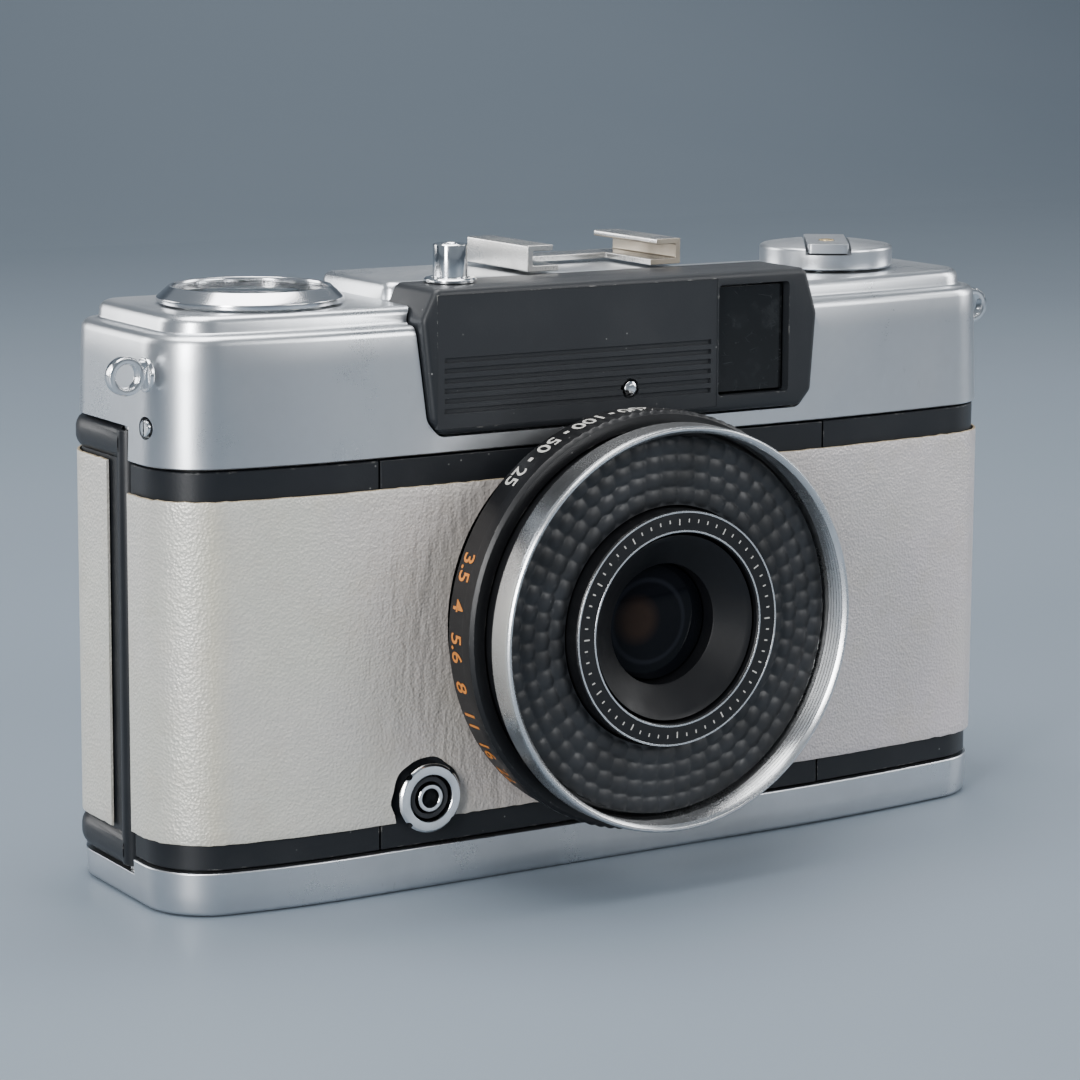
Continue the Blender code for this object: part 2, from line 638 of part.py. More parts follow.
def make_covering():
    outer, inner = -0.25, 0.05
    lens_cutter = cylinder("leather_bore", 21.3, -25, -10, (0, LENS_Z), "Y", segments=44)
    left = covering(
        "leather_left",
        front_path(outer, -1, -8, DOOR_FRONT - 0.4),
        front_path(inner, -1, -8, DOOR_FRONT - 0.4),
        LEATHER_BOTTOM,
        LEATHER_TOP,
    )
    cut(left, lens_cutter, cylinder("leather_socket", 4.4, -25, -10, FLASH_SOCKET, "Y", segments=28))
    right = covering(
        "leather_right",
        front_path(outer, 1, 8, DOOR_FRONT - 0.4),
        front_path(inner, 1, 8, DOOR_FRONT - 0.4),
        LEATHER_BOTTOM,
        LEATHER_TOP,
    )
    cut(right, lens_cutter, box("leather_latch", (54, -7.5, 21.4), (65, 0, 38.6)))
    covering("door_leather", back_path(outer, 2.0), back_path(inner, 2.0), 7.6, 49.3)


# ---------------------------------------------------------------- lens
def lens_ring(name, profile, finish, segments=36):
    """Ring or disc on the lens axis; places are measured forwards from the front face."""
    places = [(radius, FRONT - forward) for radius, forward in profile]
    closed = all(radius > 0 for radius, _ in profile)
    return turned(name, places, (0, LENS_Z), "Y", finish, segments, closed)


def make_lens():
    lens_ring("lens_mount", [(17.5, 0.3), (21.0, 0.3), (21.0, 1.9), (17.5, 1.9)], "black_paint")
    grip = [(23.7, 7.6), (RING_RADIUS, 7.9), (RING_RADIUS, 9.6), (23.6, 9.9)]
    ring = lens_ring("setting_ring", [(22.2, 4.5), (23.7, 4.5), *grip, (22.2, 9.9)], "black_paint")
    pivot(ring, (0, FRONT - 4.5, LENS_Z))
    barrel = [(13.2, -9.0), (14.0, -9.0), (14.0, 2.2), (21.9, 2.2), (21.9, 11.4), (13.6, 11.4), (13.2, 11.0)]
    lens_ring("lens_barrel", barrel, "black_paint")
    rim = [(21.75, 11.7), (22.4, 11.7), (FILTER_RADIUS, 12.6), (FILTER_RADIUS, 15.6), (22.7, 16.0)]
    lens_ring("filter_ring", [*rim, (22.1, 16.0), (21.75, 15.6)], "satin_chrome")
    lens_ring("selenium_cell", [(13.7, 11.8), (21.4, 11.8), (21.4, 13.4), (13.7, 13.9)], "cell")
    name_ring = [(11.1, 11.8), (13.4, 11.8), (13.4, 14.6), (13.2, 14.8), (11.1, 14.8), (10.85, 14.6)]
    lens_ring("name_ring", name_ring, "black_paint")
    cone = [(6.9, 8.6), (12.8, 8.6), (12.8, 11.2), (10.5, 11.4), (10.5, 14.2), (6.9, 11.6)]
    lens_ring("lens_cone", cone, "black_paint")
    dome = [(0, 10.6), (2.4, 10.48), (4.6, 10.12), (6.6, 9.6)]
    lens_ring("front_lens", [*dome, (6.6, 8.0), (0, 8.0)], "glass", 28)
    lens_ring("rear_lens", [(0, -6.2), (4.0, -6.0), (5.2, -5.2), (5.2, -3.6), (0, -3.6)], "glass", 24)


def make_shutter():
    """Shutter housing with two blades that swing apart together."""
    housing = [(5.0, -2.4), (12.9, -2.4), (12.9, 7.6), (11.9, 7.6), (11.9, 0.6), (5.0, 0.6)]
    lens_ring("shutter_housing", housing, "black_paint", 28)
    for name, side, forward in (("upper", 1, 1.2), ("lower", -1, 2.0)):
        outline = [(p[0], LENS_Z + p[1]) for p in arc(0, 0, 6.4, 0, 180 * side, 10)]
        outline = [(6.4, LENS_Z - 0.6 * side), *outline, (-6.4, LENS_Z - 0.6 * side)]
        if side < 0:
            outline = outline[::-1]
        blade = plate("shutter_blade_" + name, outline, FRONT - forward - 0.3, FRONT - forward, "steel")
        tail = rectangle(6.0, LENS_Z - 1.0, BLADE_PIVOT + 1.2, LENS_Z + 1.0, 0.3)
        join(blade, plate("blade_tail_" + name, tail, FRONT - forward - 0.3, FRONT - forward))
        pivot(blade, (BLADE_PIVOT, FRONT - forward, LENS_Z))


def make_meter():
    """Moving-coil meter and its needle, in the space beside the counter."""
    tube("meter_coil", 2.0, 5.0, 54.5, 61.0, (-3.0, 5.0), finish="steel", segments=32)
    needle = box("meter_needle", (-3.3, -8.6, 61.8), (-2.7, 6.0, 62.1), "steel")
    pivot(needle, (-3.0, 5.0, 61.8))


def make_flash_socket():
    """Flash socket: a flanged sleeve, an insulating cup and the centre contact."""
    flange = [(2.7, -12.5), (2.95, -12.5), (2.95, -15.55), (3.95, -15.55), (3.95, -16.1), (3.7, -16.35)]
    turned("flash_socket_sleeve", [*flange, (2.7, -16.35)], FLASH_SOCKET, "Y", "polished", 24, closed=True)
    cup = [(0, -13.1), (1.85, -13.1), (1.85, -15.9), (2.4, -15.9), (2.4, -12.5), (0, -12.5)]
    turned("flash_socket_cup", cup, FLASH_SOCKET, "Y", "black_plastic", 18)
    contact = [(1.1, -13.4), (1.55, -13.4), (1.55, -16.2), (1.1, -16.2)]
    turned("flash_socket_contact", contact, FLASH_SOCKET, "Y", "brass", 16, closed=True)


def main():
    clear_scene()
    make_chassis()
    make_front_plate()
    make_base()
    make_tripod_socket()
    make_rewind_release()
    make_cover()
    make_side_screws()
    lug("strap_lug_left", LEFT, -9.0, 59.9, -1)
    lug("strap_lug_right", RIGHT, -3.3, 60.5, 1)
    make_hood()
    make_finder()
    make_shutter_button()
    make_counter()
    make_advance()
    make_rewind()
    make_shoe()
    make_door()
    make_pressure_plate()
    make_latch()
    make_covering()
    make_lens()
    make_shutter()
    make_meter()
    make_flash_socket()


main()
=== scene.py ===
"""Looks of the half frame camera: detailed shells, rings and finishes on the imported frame.

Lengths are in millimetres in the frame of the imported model: +Z up, -Y out of the lens, +X to the
right seen from the front. They are turned into metres where meshes are made.
"""
from math import atan2, cos, degrees, floor, pi, radians, sin, tan, tau

import bmesh
import bpy
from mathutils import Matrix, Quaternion, Vector, noise


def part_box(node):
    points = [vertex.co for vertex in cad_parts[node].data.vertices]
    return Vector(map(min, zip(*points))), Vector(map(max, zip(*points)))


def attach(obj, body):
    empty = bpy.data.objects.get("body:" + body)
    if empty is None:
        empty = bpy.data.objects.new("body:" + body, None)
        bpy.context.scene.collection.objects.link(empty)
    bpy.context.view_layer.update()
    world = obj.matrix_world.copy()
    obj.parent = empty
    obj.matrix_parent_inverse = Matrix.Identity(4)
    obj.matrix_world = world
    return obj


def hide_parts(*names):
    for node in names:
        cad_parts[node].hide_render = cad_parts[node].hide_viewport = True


MM = 0.001
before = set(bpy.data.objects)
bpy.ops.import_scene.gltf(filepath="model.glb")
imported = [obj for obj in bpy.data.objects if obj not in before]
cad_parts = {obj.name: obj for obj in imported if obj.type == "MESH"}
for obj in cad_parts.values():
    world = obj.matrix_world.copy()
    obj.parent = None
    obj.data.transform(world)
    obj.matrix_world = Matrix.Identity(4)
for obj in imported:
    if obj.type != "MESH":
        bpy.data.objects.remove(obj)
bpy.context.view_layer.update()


def span(node):
    """Lowest and highest corner of a CAD node, in millimetres."""
    low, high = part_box(node)
    return low / MM, high / MM


def middle(node):
    low, high = span(node)
    return (low + high) / 2


def above(node):
    """Middle of a node seen from above, x and y."""
    return middle(node).to_2d()


def ahead(node):
    """Middle of a node seen from the front, x and z."""
    return middle(node).xz


# ---- driving dimensions
BASE_LOW, BASE_HIGH = span("base_plate")
LEFT, RIGHT = BASE_LOW.x, BASE_HIGH.x
FRONT, BACK = BASE_LOW.y, BASE_HIGH.y
BASE_TOP, COVER_BOTTOM = BASE_HIGH.z, span("top_cover")[0].z
LEATHER_LOW, LEATHER_HIGH = span("leather_left")
SEAM_LEFT, SEAM_RIGHT = span("front_plate")[0].x, span("front_plate")[1].x
DOOR_LOW, DOOR_HIGH = span("back_door")
LENS_Z = middle("filter_ring").z
LENS = (0.0, LENS_Z)
COUNTER, REWIND, BUTTON = above("counter_bezel"), above("rewind_sleeve"), above("shutter_button")
TAKE_UP, WHEEL, SPROCKET = above("take_up_spool"), above("advance_wheel"), above("film_sprocket")
TRIPOD, RELEASE, HINGE = above("tripod_socket"), above("rewind_release_button"), above("hinge_pin")
SOCKET, SCREW = ahead("flash_socket_sleeve"), ahead("trim_screw")
FINDER_X, FINDER_Z = ahead("eyepiece_frame")
DECK = span("finder_hood")[1].z
HOOD_BACK = span("finder_hood")[1].y

CORNER_STEPS, SWEEP_STEPS = 20, 14   # segments on a corner and on a long sweep of the outline
ROUND = 144                          # segments round a large turned piece
GAP, RECESS = 0.3, 0.3               # clearance between pieces; depth of the black bands
SHEET, DOOR_WALL = 0.9, 1.2          # thickness of the drawn metal and of the door
DOOR_FRONT = -2.8                    # y of the door's front edge
CRANK_TURN = -34                     # degrees from the Y direction to where the crank rests
FRONT_CORNER, BACK_CORNER = 8.0, 6.5
FILM_PLANE = 11.4
COVER_PLATEAU = 65.95
SIDE_SCREW = (-7.0, 53.8)            # y and z of the screws in the cover's ends
SHARP = 32                           # degrees over which an edge stays sharp
MIX_FACTOR, MIX_FIRST, MIX_SECOND, MIX_RESULT = 0, 6, 7, 2   # colour sockets of the Mix node


# ---- outlines
def arc(cx, cy, radius, start, end, steps):
    """Points on an arc, angles in degrees."""
    angles = [radians(start + (end - start) * i / steps) for i in range(steps + 1)]
    return [(cx + radius * cos(a), cy + radius * sin(a)) for a in angles]


def fillet(before, corner, after, radius, steps):
    """Arc of a radius that joins the two edges meeting at a corner."""
    corner = Vector(corner)
    to_before = (Vector(before) - corner).normalized()
    to_after = (Vector(after) - corner).normalized()
    half = to_before.angle(to_after) / 2
    centre = corner + (to_before + to_after).normalized() * (radius / sin(half))
    reach = radius / tan(half)
    first = corner + to_before * reach - centre
    last = corner + to_after * reach - centre
    start = degrees(atan2(first.y, first.x))
    turn = degrees(atan2(first.cross(last), first.dot(last)))
    return arc(centre.x, centre.y, radius, start, start + turn, steps)


def rounded(corners, inset=0.0):
    """Anticlockwise outline with rounded corners, moved inwards by inset."""
    edges = []
    for (x0, y0, *_), (x1, y1, *_) in zip(corners, corners[1:] + corners[:1]):
        along = Vector((x1 - x0, y1 - y0)).normalized()
        inward = Vector((-along.y, along.x))
        edges.append((Vector((x0, y0)) + inward * inset, along))
    moved = []
    for index in range(len(corners)):
        (p, d), (q, e) = edges[index - 1], edges[index]
        moved.append(p + d * ((q - p).cross(e) / d.cross(e)))
    points = []
    for index, (_, _, radius, steps) in enumerate(corners):
        around = (moved[index - 1], moved[index], moved[(index + 1) % len(moved)])
        points += fillet(*around, max(radius - inset, 0.2), steps)
    return points


def body_outline(inset=0.0):
    """The camera body seen from above: flat front, ends that sweep back, round corners."""
    x_left, x_right = -39.5, 36.9
    slope_left, slope_right = 0.176, 0.1185
    corners = [
        (LEFT, FRONT + (x_left - LEFT) * slope_left, FRONT_CORNER, CORNER_STEPS),
        (x_left, FRONT, 90.0, SWEEP_STEPS),
        (x_right, FRONT, 250.0, SWEEP_STEPS),
        (RIGHT, FRONT + (RIGHT - x_right) * slope_right, FRONT_CORNER, CORNER_STEPS),
        (RIGHT, BACK, BACK_CORNER, CORNER_STEPS),
        (LEFT, BACK, BACK_CORNER, CORNER_STEPS),
    ]
    return rounded(corners, inset)


def rectangle(x0, y0, x1, y1, radius, inset=0.0, steps=6):
    corners = [(x0, y0), (x1, y0), (x1, y1), (x0, y1)]
    return rounded([(x, y, radius, steps) for x, y in corners], inset)


def hood_outline(inset=0.0):
    """Finder hood seen from the front, x and z, anticlockwise."""
    corners = [(-22.1, 51.7, 1.4), (26.6, 51.7, 1.2), (28.2, 53.4, 1.2), (28.9, 62.7, 1.8), (27.2, DECK, 1.1)]
    corners += [(-23.1, DECK, 1.1), (-24.8, 64.6, 1.8), (-23.5, 53.4, 1.4)]
    return rounded([(*corner, 6) for corner in corners], inset)


def back_path(inset, front_y):
    """Open path from the left side round the back to the right side."""
    radius = BACK_CORNER - inset
    left_arc = arc(LEFT + BACK_CORNER, BACK - BACK_CORNER, radius, 180, 90, CORNER_STEPS)
    right_arc = arc(RIGHT - BACK_CORNER, BACK - BACK_CORNER, radius, 90, 0, CORNER_STEPS)
    return [(LEFT + inset, front_y), *left_arc, *right_arc, (RIGHT - inset, front_y)]


def front_path(inset, side, end_x, end_y):
    """Open path along the front from end_x, round one front corner, to end_y on that side."""
    outline = body_outline(inset)
    first = CORNER_STEPS + 1
    centre, last = first + SWEEP_STEPS + 1, first + 2 * (SWEEP_STEPS + 1)
    if side < 0:
        sweep = [p for p in outline[first:centre] if p[0] < end_x]
        return [(LEFT + inset, end_y), *outline[:first], *sweep, (end_x, FRONT + inset)]
    sweep = [p for p in outline[centre:last] if p[0] > end_x]
    corner = outline[last : last + first]
    return [(end_x, FRONT + inset), *sweep, *corner, (RIGHT - inset, end_y)]


def hoop(inner, outer, start, end):
    """Profile of a plain ring, or of a disc if the inner radius is nought."""
    return [(inner, start), (outer, start), (outer, end), (inner, end)]


def softened(points, radius, steps=3, closed=True):
    """Polyline with each corner rounded, by at most the radius."""
    result = []
    for index, spot in enumerate(points):
        if not closed and index in (0, len(points) - 1):
            result.append(tuple(spot))
            continue
        corner = Vector(spot)
        before = Vector(points[index - 1]) - corner
        after = Vector(points[(index + 1) % len(points)]) - corner
        angle = before.angle(after)
        if angle > radians(172):
            result.append(tuple(spot))
            continue
        reach = min(radius / tan(angle / 2), before.length * 0.45, after.length * 0.45)
        first = corner + before.normalized() * reach
        last = corner + after.normalized() * reach
        for step in range(steps + 1):
            t = step / steps
            result.append(tuple(first * (1 - t) ** 2 + corner * 2 * t * (1 - t) + last * t**2))
    return result


# ---- meshes
def linked(name, data):
    thing = bpy.data.objects.new(name, data)
    bpy.context.collection.objects.link(thing)
    return thing


def evaluated(thing):
    """Mesh of an object with its modifiers applied."""
    graph = bpy.context.evaluated_depsgraph_get()
    return bpy.data.meshes.new_from_object(thing.evaluated_get(graph))


def make(name, points, faces, material=None, sharp=SHARP):
    """Object from points in millimetres, smooth except at edges over the sharp angle."""
    work = bmesh.new()
    corners = [work.verts.new(Vector(p) * MM) for p in points]
    for face in faces:
        work.faces.new([corners[i] for i in face])
    bmesh.ops.recalc_face_normals(work, faces=work.faces)
    mesh = bpy.data.meshes.new(name)
    work.to_mesh(mesh)
    work.free()
    mesh.shade_smooth()
    mesh.set_sharp_from_angle(angle=radians(sharp))
    if material:
        mesh.materials.append(material)
    return linked(name, mesh)


def loft(name, rings, material=None, closed=False, sharp=SHARP):
    """Solid through rings of equally many points, capped at its ends or closed on itself."""
    count = len(rings[0])
    points = [p for ring in rings for p in ring]
    faces = []
    if not closed:
        faces = [list(range(count))[::-1], [len(points) - count + i for i in range(count)]]
    for level in range(len(rings) if closed else len(rings) - 1):
        low, high = level * count, (level + 1) % len(rings) * count
        for i in range(count):
            j = (i + 1) % count
            faces.append([low + i, low + j, high + j, high + i])
    return make(name, points, faces, material, sharp)


def stack(name, outline_at, levels, material=None):
    """Upright solid through (height, inset) levels of an outline function."""
    return loft(name, [[(x, y, z) for x, y in outline_at(inset)] for z, inset in levels], material)


def prism(name, outline, bottom, top, material=None):
    return loft(name, [[(x, y, z) for x, y in outline] for z in (bottom, top)], material)


def plate(name, outline_at, levels, material=None):
    """Solid along Y through (y, inset) levels of an outline function in x and z."""
    return loft(name, [[(x, y, z) for x, z in outline_at(inset)] for y, inset in levels], material)


def box(name, low, high, material=None):
    (x0, y0, z0), (x1, y1, z1) = low, high
    return prism(name, [(x0, y0), (x1, y0), (x1, y1), (x0, y1)], z0, z1, material)


def turned(name, profile, centre, axis="Z", material=None, soft=0.08, segments=ROUND, ripple=None):
    """Turned piece with small radii on its edges. The profile holds (radius, place along the axis).

    ripple(radius, angle) may change the radius round the piece, as knurling does.
    """
    closed = all(radius > 0 for radius, _ in profile)
    profile = softened(profile, soft, closed=closed) if soft else profile
    points, rows = [], []
    for radius, along in profile:
        count = segments if radius > 0 else 1
        rows.append(range(len(points), len(points) + count))
        for index in range(count):
            angle = tau * index / segments
            reach = ripple(radius, angle) if ripple else radius
            u, v = centre[0] + reach * cos(angle), centre[1] + reach * sin(angle)
            points.append({"X": (along, u, v), "Y": (u, along, v), "Z": (u, v, along)}[axis])
    faces = []
    for first, second in zip(rows, rows[1:] + rows[:1] if closed else rows[1:]):
        for index in range(segments):
            corners = ((first, index), (first, index + 1), (second, index + 1), (second, index))
            faces.append(list(dict.fromkeys(row[place % len(row)] for row, place in corners)))
    return make(name, points, faces, material)


def cylinder(name, radius, start, end, centre, axis="Z", material=None, segments=64):
    return turned(name, hoop(0, radius, start, end), centre, axis, material, 0, segments)


def carve(target, cutters, operation="DIFFERENCE"):
    """Apply booleans to the target at once and drop the cutters."""
    for cutter in cutters:
        modifier = target.modifiers.new(cutter.name, "BOOLEAN")
        modifier.operation = operation
        modifier.object = cutter
        modifier.solver = "EXACT"
    result = evaluated(target)
    target.modifiers.clear()
    target.data = result
    for cutter in cutters:
        bpy.data.objects.remove(cutter, do_unlink=True)
    result.shade_smooth()
    result.set_sharp_from_angle(angle=radians(SHARP))
    return target


def bevel(thing, width, segments=3):
    """Fine radius on the sharp edges, so that they catch the light."""
    modifier = thing.modifiers.new("edges", "BEVEL")
    modifier.width = width * MM
    modifier.segments = segments
    modifier.limit_method = "ANGLE"
    modifier.angle_limit = radians(SHARP)
    modifier.harden_normals = True
    return thing


def piece(thing, body, slot, *nodes):
    """Let a piece ride on a body and stand for CAD nodes."""
    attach(thing, body)
    if nodes:
        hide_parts(*nodes)
    return thing


def fixed(thing, slot, *nodes):
    return piece(thing, "camera_body", slot, *nodes)


# ---- node helpers
class Finish:
    """A material under construction: its shader and short ways to add nodes."""

    def __init__(self, name, colour, metallic, roughness, **settings):
        self.material = bpy.data.materials.new(name)
        self.material.use_nodes = True
        self.tree = self.material.node_tree
        self.shader = self.tree.nodes["Principled BSDF"]
        settings = {"Base_Color": (*colour, 1.0), "Metallic": metallic, "Roughness": roughness, **settings}
        for key, value in settings.items():
            self.shader.inputs[key.replace("_", " ")].default_value = value
        self.material.diffuse_color = (*colour, 1.0)
        self.place = self.node("TexCoord", {})["Object"]

    def link(self, output, socket):
        self.tree.links.new(output, self.shader.inputs[socket])

    def paint(self, *mixed):
        self.link(self.mix(*mixed), "Base Color")

    def rough(self, *fitted):
        self.link(self.fit(*fitted), "Roughness")

    def node(self, kind, inputs, **settings):
        """Outputs of a new node, whose inputs are numbers or the outputs of other nodes."""
        added = self.tree.nodes.new("ShaderNode" + kind)
        for key, value in settings.items():
            setattr(added, key, value)
        for key, value in inputs.items():
            if isinstance(value, bpy.types.NodeSocket):
                self.tree.links.new(value, added.inputs[key])
            else:
                added.inputs[key].default_value = value
        return added.outputs

    def maths(self, operation, first, second=0.0):
        return self.node("Math", {0: first, 1: second, 2: 0.0}, operation=operation)[0]

    def times(self, first, second):
        return self.maths("MULTIPLY", first, second)

    def plus(self, first, second):
        return self.maths("ADD", first, second)

    def stretched(self, x, y, z):
        """Object coordinates scaled per axis."""
        return self.node("Mapping", {"Scale": (x, y, z), "Vector": self.place})[0]

    def noise(self, size, detail=3.0, roughness=0.5, vector=None):
        """Noise whose features are about size millimetres across."""
        inputs = {"Scale": 1 / (size * MM), "Detail": detail, "Roughness": roughness}
        return self.node("TexNoise", {**inputs, "Vector": vector or self.place})[0]

    def cells(self, size, feature="F1", vector=None):
        inputs = {"Scale": 1 / (size * MM), "Vector": vector or self.place}
        return self.node("TexVoronoi", inputs, feature=feature)["Distance"]

    def fit(self, value, low, high, to_low=0.0, to_high=1.0):
        """Map a range to another, clamped."""
        inputs = {"Value": value, "From Min": low, "From Max": high, "To Min": to_low, "To Max": to_high}
        return self.node("MapRange", inputs)[0]

    def mix(self, factor, first, second):
        first, second = ((*c, 1.0) if isinstance(c, tuple) else c for c in (first, second))
        inputs = {MIX_FACTOR: factor, MIX_FIRST: first, MIX_SECOND: second}
        return self.node("Mix", inputs, data_type="RGBA")[MIX_RESULT]

    def bump(self, height, depth, strength):
        """Bump of a depth in millimetres."""
        inputs = {"Distance": depth * MM, "Strength": strength, "Height": height}
        self.link(self.node("Bump", inputs)[0], "Normal")

    def edges(self, radius):
        """One on sharp convex and concave edges, nought on open faces."""
        smooth = self.node("Bevel", {"Radius": radius * MM}, samples=4)[0]
        flat = self.node("NewGeometry", {})["True Normal"]
        dot = self.node("VectorMath", {0: smooth, 1: flat}, operation="DOT_PRODUCT")["Value"]
        return self.fit(dot, 0.98, 0.8)

    def axis(self, name):
        return self.node("SeparateXYZ", {0: self.place})[name]

    def reach(self, x, z):
        """Distance from the line along Y through x and z, in metres."""
        across = self.maths("SUBTRACT", self.axis("X"), x * MM)
        along = self.maths("SUBTRACT", self.axis("Z"), z * MM)
        return self.maths("SQRT", self.plus(self.times(across, across), self.times(along, along)))


# ---- materials
def satin_metal(name, colour, low, high, dirt=0.5):
    """Bead-blasted metal: fine grain, broad smudges and faint marks."""
    made = Finish(name, colour, 1.0, (low + high) / 2)
    smudge = made.noise(14, 4, 0.6)
    grain = made.noise(0.16, 2, 0.6)
    wear = made.plus(made.fit(smudge, 0.3, 0.7, 0, 0.7), made.fit(grain, 0.3, 0.7, 0, 0.3))
    made.rough(wear, 0.0, 1.0, low, high)
    darker = tuple(c * (1 - 0.28 * dirt) for c in colour)
    shade = made.mix(made.fit(smudge, 0.42, 0.72), colour, darker)
    marks = made.noise(1.1, 5, 0.7, made.stretched(1.0, 1.0, 0.35))
    made.paint(made.fit(marks, 0.66, 0.74, 0, 0.35 * dirt), shade, (0.2, 0.19, 0.17))
    made.bump(grain, 0.012, 0.3)
    return made.material


def polished_metal(name, colour):
    made = Finish(name, colour, 1.0, 0.12)
    scuff = made.noise(2.5, 4, 0.65)
    made.rough(scuff, 0.35, 0.75, 0.06, 0.24)
    made.paint(made.fit(scuff, 0.5, 0.8, 0, 0.5), colour, (0.5, 0.5, 0.5))
    made.bump(made.noise(0.5, 2), 0.01, 0.25)
    return made.material


def black_paint(name, colour, low, high, wear, dust=0.4, grain=0.25):
    """Black enamel with orange peel, a little dust and bare metal where edges have worn."""
    made = Finish(name, colour, 0.0, (low + high) / 2, Specular_IOR_Level=0.32)
    haze = made.noise(9, 4, 0.6)
    made.rough(haze, 0.3, 0.75, low, high)
    dusty = made.mix(made.fit(haze, 0.5, 0.85, 0, dust * 0.3), colour, (0.04, 0.042, 0.046))
    specks = made.fit(made.cells(1.7), 0.075, 0.045)
    rare = made.fit(made.noise(4.5, 1), 0.56, 0.62)
    dusty = made.mix(made.times(made.times(specks, rare), dust), dusty, (0.3, 0.3, 0.29))
    worn = made.fit(made.noise(1.6, 5, 0.7), 0.56, 0.62)
    chips = made.times(made.times(made.edges(0.22), worn), wear)
    made.paint(chips, dusty, (0.6, 0.58, 0.54))
    made.link(chips, "Metallic")
    made.bump(made.noise(grain, 3, 0.6), 0.02, 0.5)
    return made.material


def leatherette(name):
    """Pearly pressed skin: pebble grain, soiling, a yellower front left corner, painted pearl sheen; by the
    lens wrinkles and painted shade.
    """
    ivory, pink = (0.5, 0.49, 0.435), (0.52, 0.475, 0.485)
    coat = {"Coat_Weight": 0.18, "Coat_Roughness": 0.35, "Sheen_Weight": 0.12, "Sheen_Roughness": 0.5}
    made = Finish(name, ivory, 0.35, 0.45, **coat)
    x = made.axis("X")
    # painted pearl sheen: ivory on the left turning pink on the right, with random tone over it
    pearl_sheen_and_tone = made.plus(made.fit(x, -0.05, 0.045, 0, 0.8), made.fit(made.noise(16, 3), 0.3, 0.7, -0.2, 0.3))
    colour = made.mix(pearl_sheen_and_tone, ivory, pink)
    soil = made.times(made.fit(made.noise(7, 5, 0.7), 0.5, 0.75), 0.5)
    colour = made.mix(soil, colour, (0.47, 0.43, 0.36))
    corner = made.fit(made.maths("ABSOLUTE", made.plus(x, 0.0495)), 0.0022, 0.0)
    colour = made.mix(made.times(corner, 0.45), colour, (0.5, 0.45, 0.32))
    # painted shade and painted brown-pink reflection in a band 25.5 to 37 mm from the lens axis; the same
    # band also wrinkles the skin
    near = made.fit(made.reach(0, LENS_Z), 0.037, 0.0255)
    made.paint(made.times(near, 0.3), colour, (0.4, 0.31, 0.27))
    made.rough(made.noise(3, 4), 0.3, 0.7, 0.36, 0.52)
    pebbles = made.cells(0.34)
    creases = made.noise(0.9, 4, 0.65)
    grain = made.plus(made.times(pebbles, 0.6), made.times(creases, 0.6))
    wrinkles = made.noise(1.0, 2, 0.5, made.stretched(1.0, 1.0, 0.28))
    height = made.plus(grain, made.times(made.times(near, wrinkles), 2.3))
    made.bump(height, 0.14, 0.75)
    return made.material


def plain(name, colour, metallic, roughness, size=0.6, depth=0.02, vary=0.25, **settings):
    """Simple finish with fine grain and uneven tone."""
    made = Finish(name, colour, metallic, roughness, **settings)
    tone = made.noise(size * 6, 4)
    darker = tuple(c * (1 - vary) for c in colour)
    made.paint(made.fit(tone, 0.35, 0.7), colour, darker)
    made.rough(tone, 0.3, 0.75, roughness * 0.8, roughness * 1.25)
    made.bump(made.noise(size, 3), depth, 0.4)
    return made.material


def finder_glass(name):
    """Old flat glass with dust, fibres and smears over a dark finder."""
    dark = (0.004, 0.0045, 0.005)
    made = Finish(name, dark, 0.0, 0.08, IOR=1.38)
    smear = made.noise(4.5, 5, 0.6)
    fibres = made.fit(made.cells(2.2, "DISTANCE_TO_EDGE", made.stretched(1, 1, 2.2)), 0.012, 0.0)
    broken = made.times(fibres, made.fit(made.noise(2.0, 2), 0.55, 0.62))
    grit = made.fit(made.cells(0.6), 0.16, 0.06)
    grit = made.times(grit, made.fit(made.noise(2.5, 3), 0.52, 0.7))
    dust = made.plus(made.times(broken, 0.5), made.times(grit, 0.55))
    dust = made.plus(dust, made.fit(smear, 0.52, 0.8, 0, 0.3))
    made.paint(dust, dark, (0.075, 0.08, 0.085))
    made.rough(dust, 0, 1, 0.08, 0.55)
    return made.material


def lens_glass(name):
    """Coated element over a dark tube, with a painted brown gleam of the iris off to one side and a painted
    glint on the tube's rim.
    """
    dark = (0.0025, 0.003, 0.0042)
    made = Finish(name, dark, 0.0, 0.03, IOR=1.16)
    # painted brown gleam of the iris, off to one side of the axis
    gleam = made.fit(made.reach(-2.6, LENS_Z + 0.5), 0.0031, 0.0016)
    colour = made.mix(made.times(gleam, 0.85), dark, (0.017, 0.0105, 0.0075))
    # painted glint: a thin pale ring where the rim of the dark tube inside catches light
    from_glint_rim = made.maths("SUBTRACT", made.reach(-1.1, LENS_Z + 0.2), 0.0047)
    tube = made.fit(made.maths("ABSOLUTE", from_glint_rim), 0.0004, 0.0001)
    made.paint(made.times(tube, 0.35), colour, (0.016, 0.018, 0.024))
    dust = made.fit(made.cells(0.9), 0.07, 0.03)
    made.rough(dust, 0, 1, 0.03, 0.3)
    return made.material


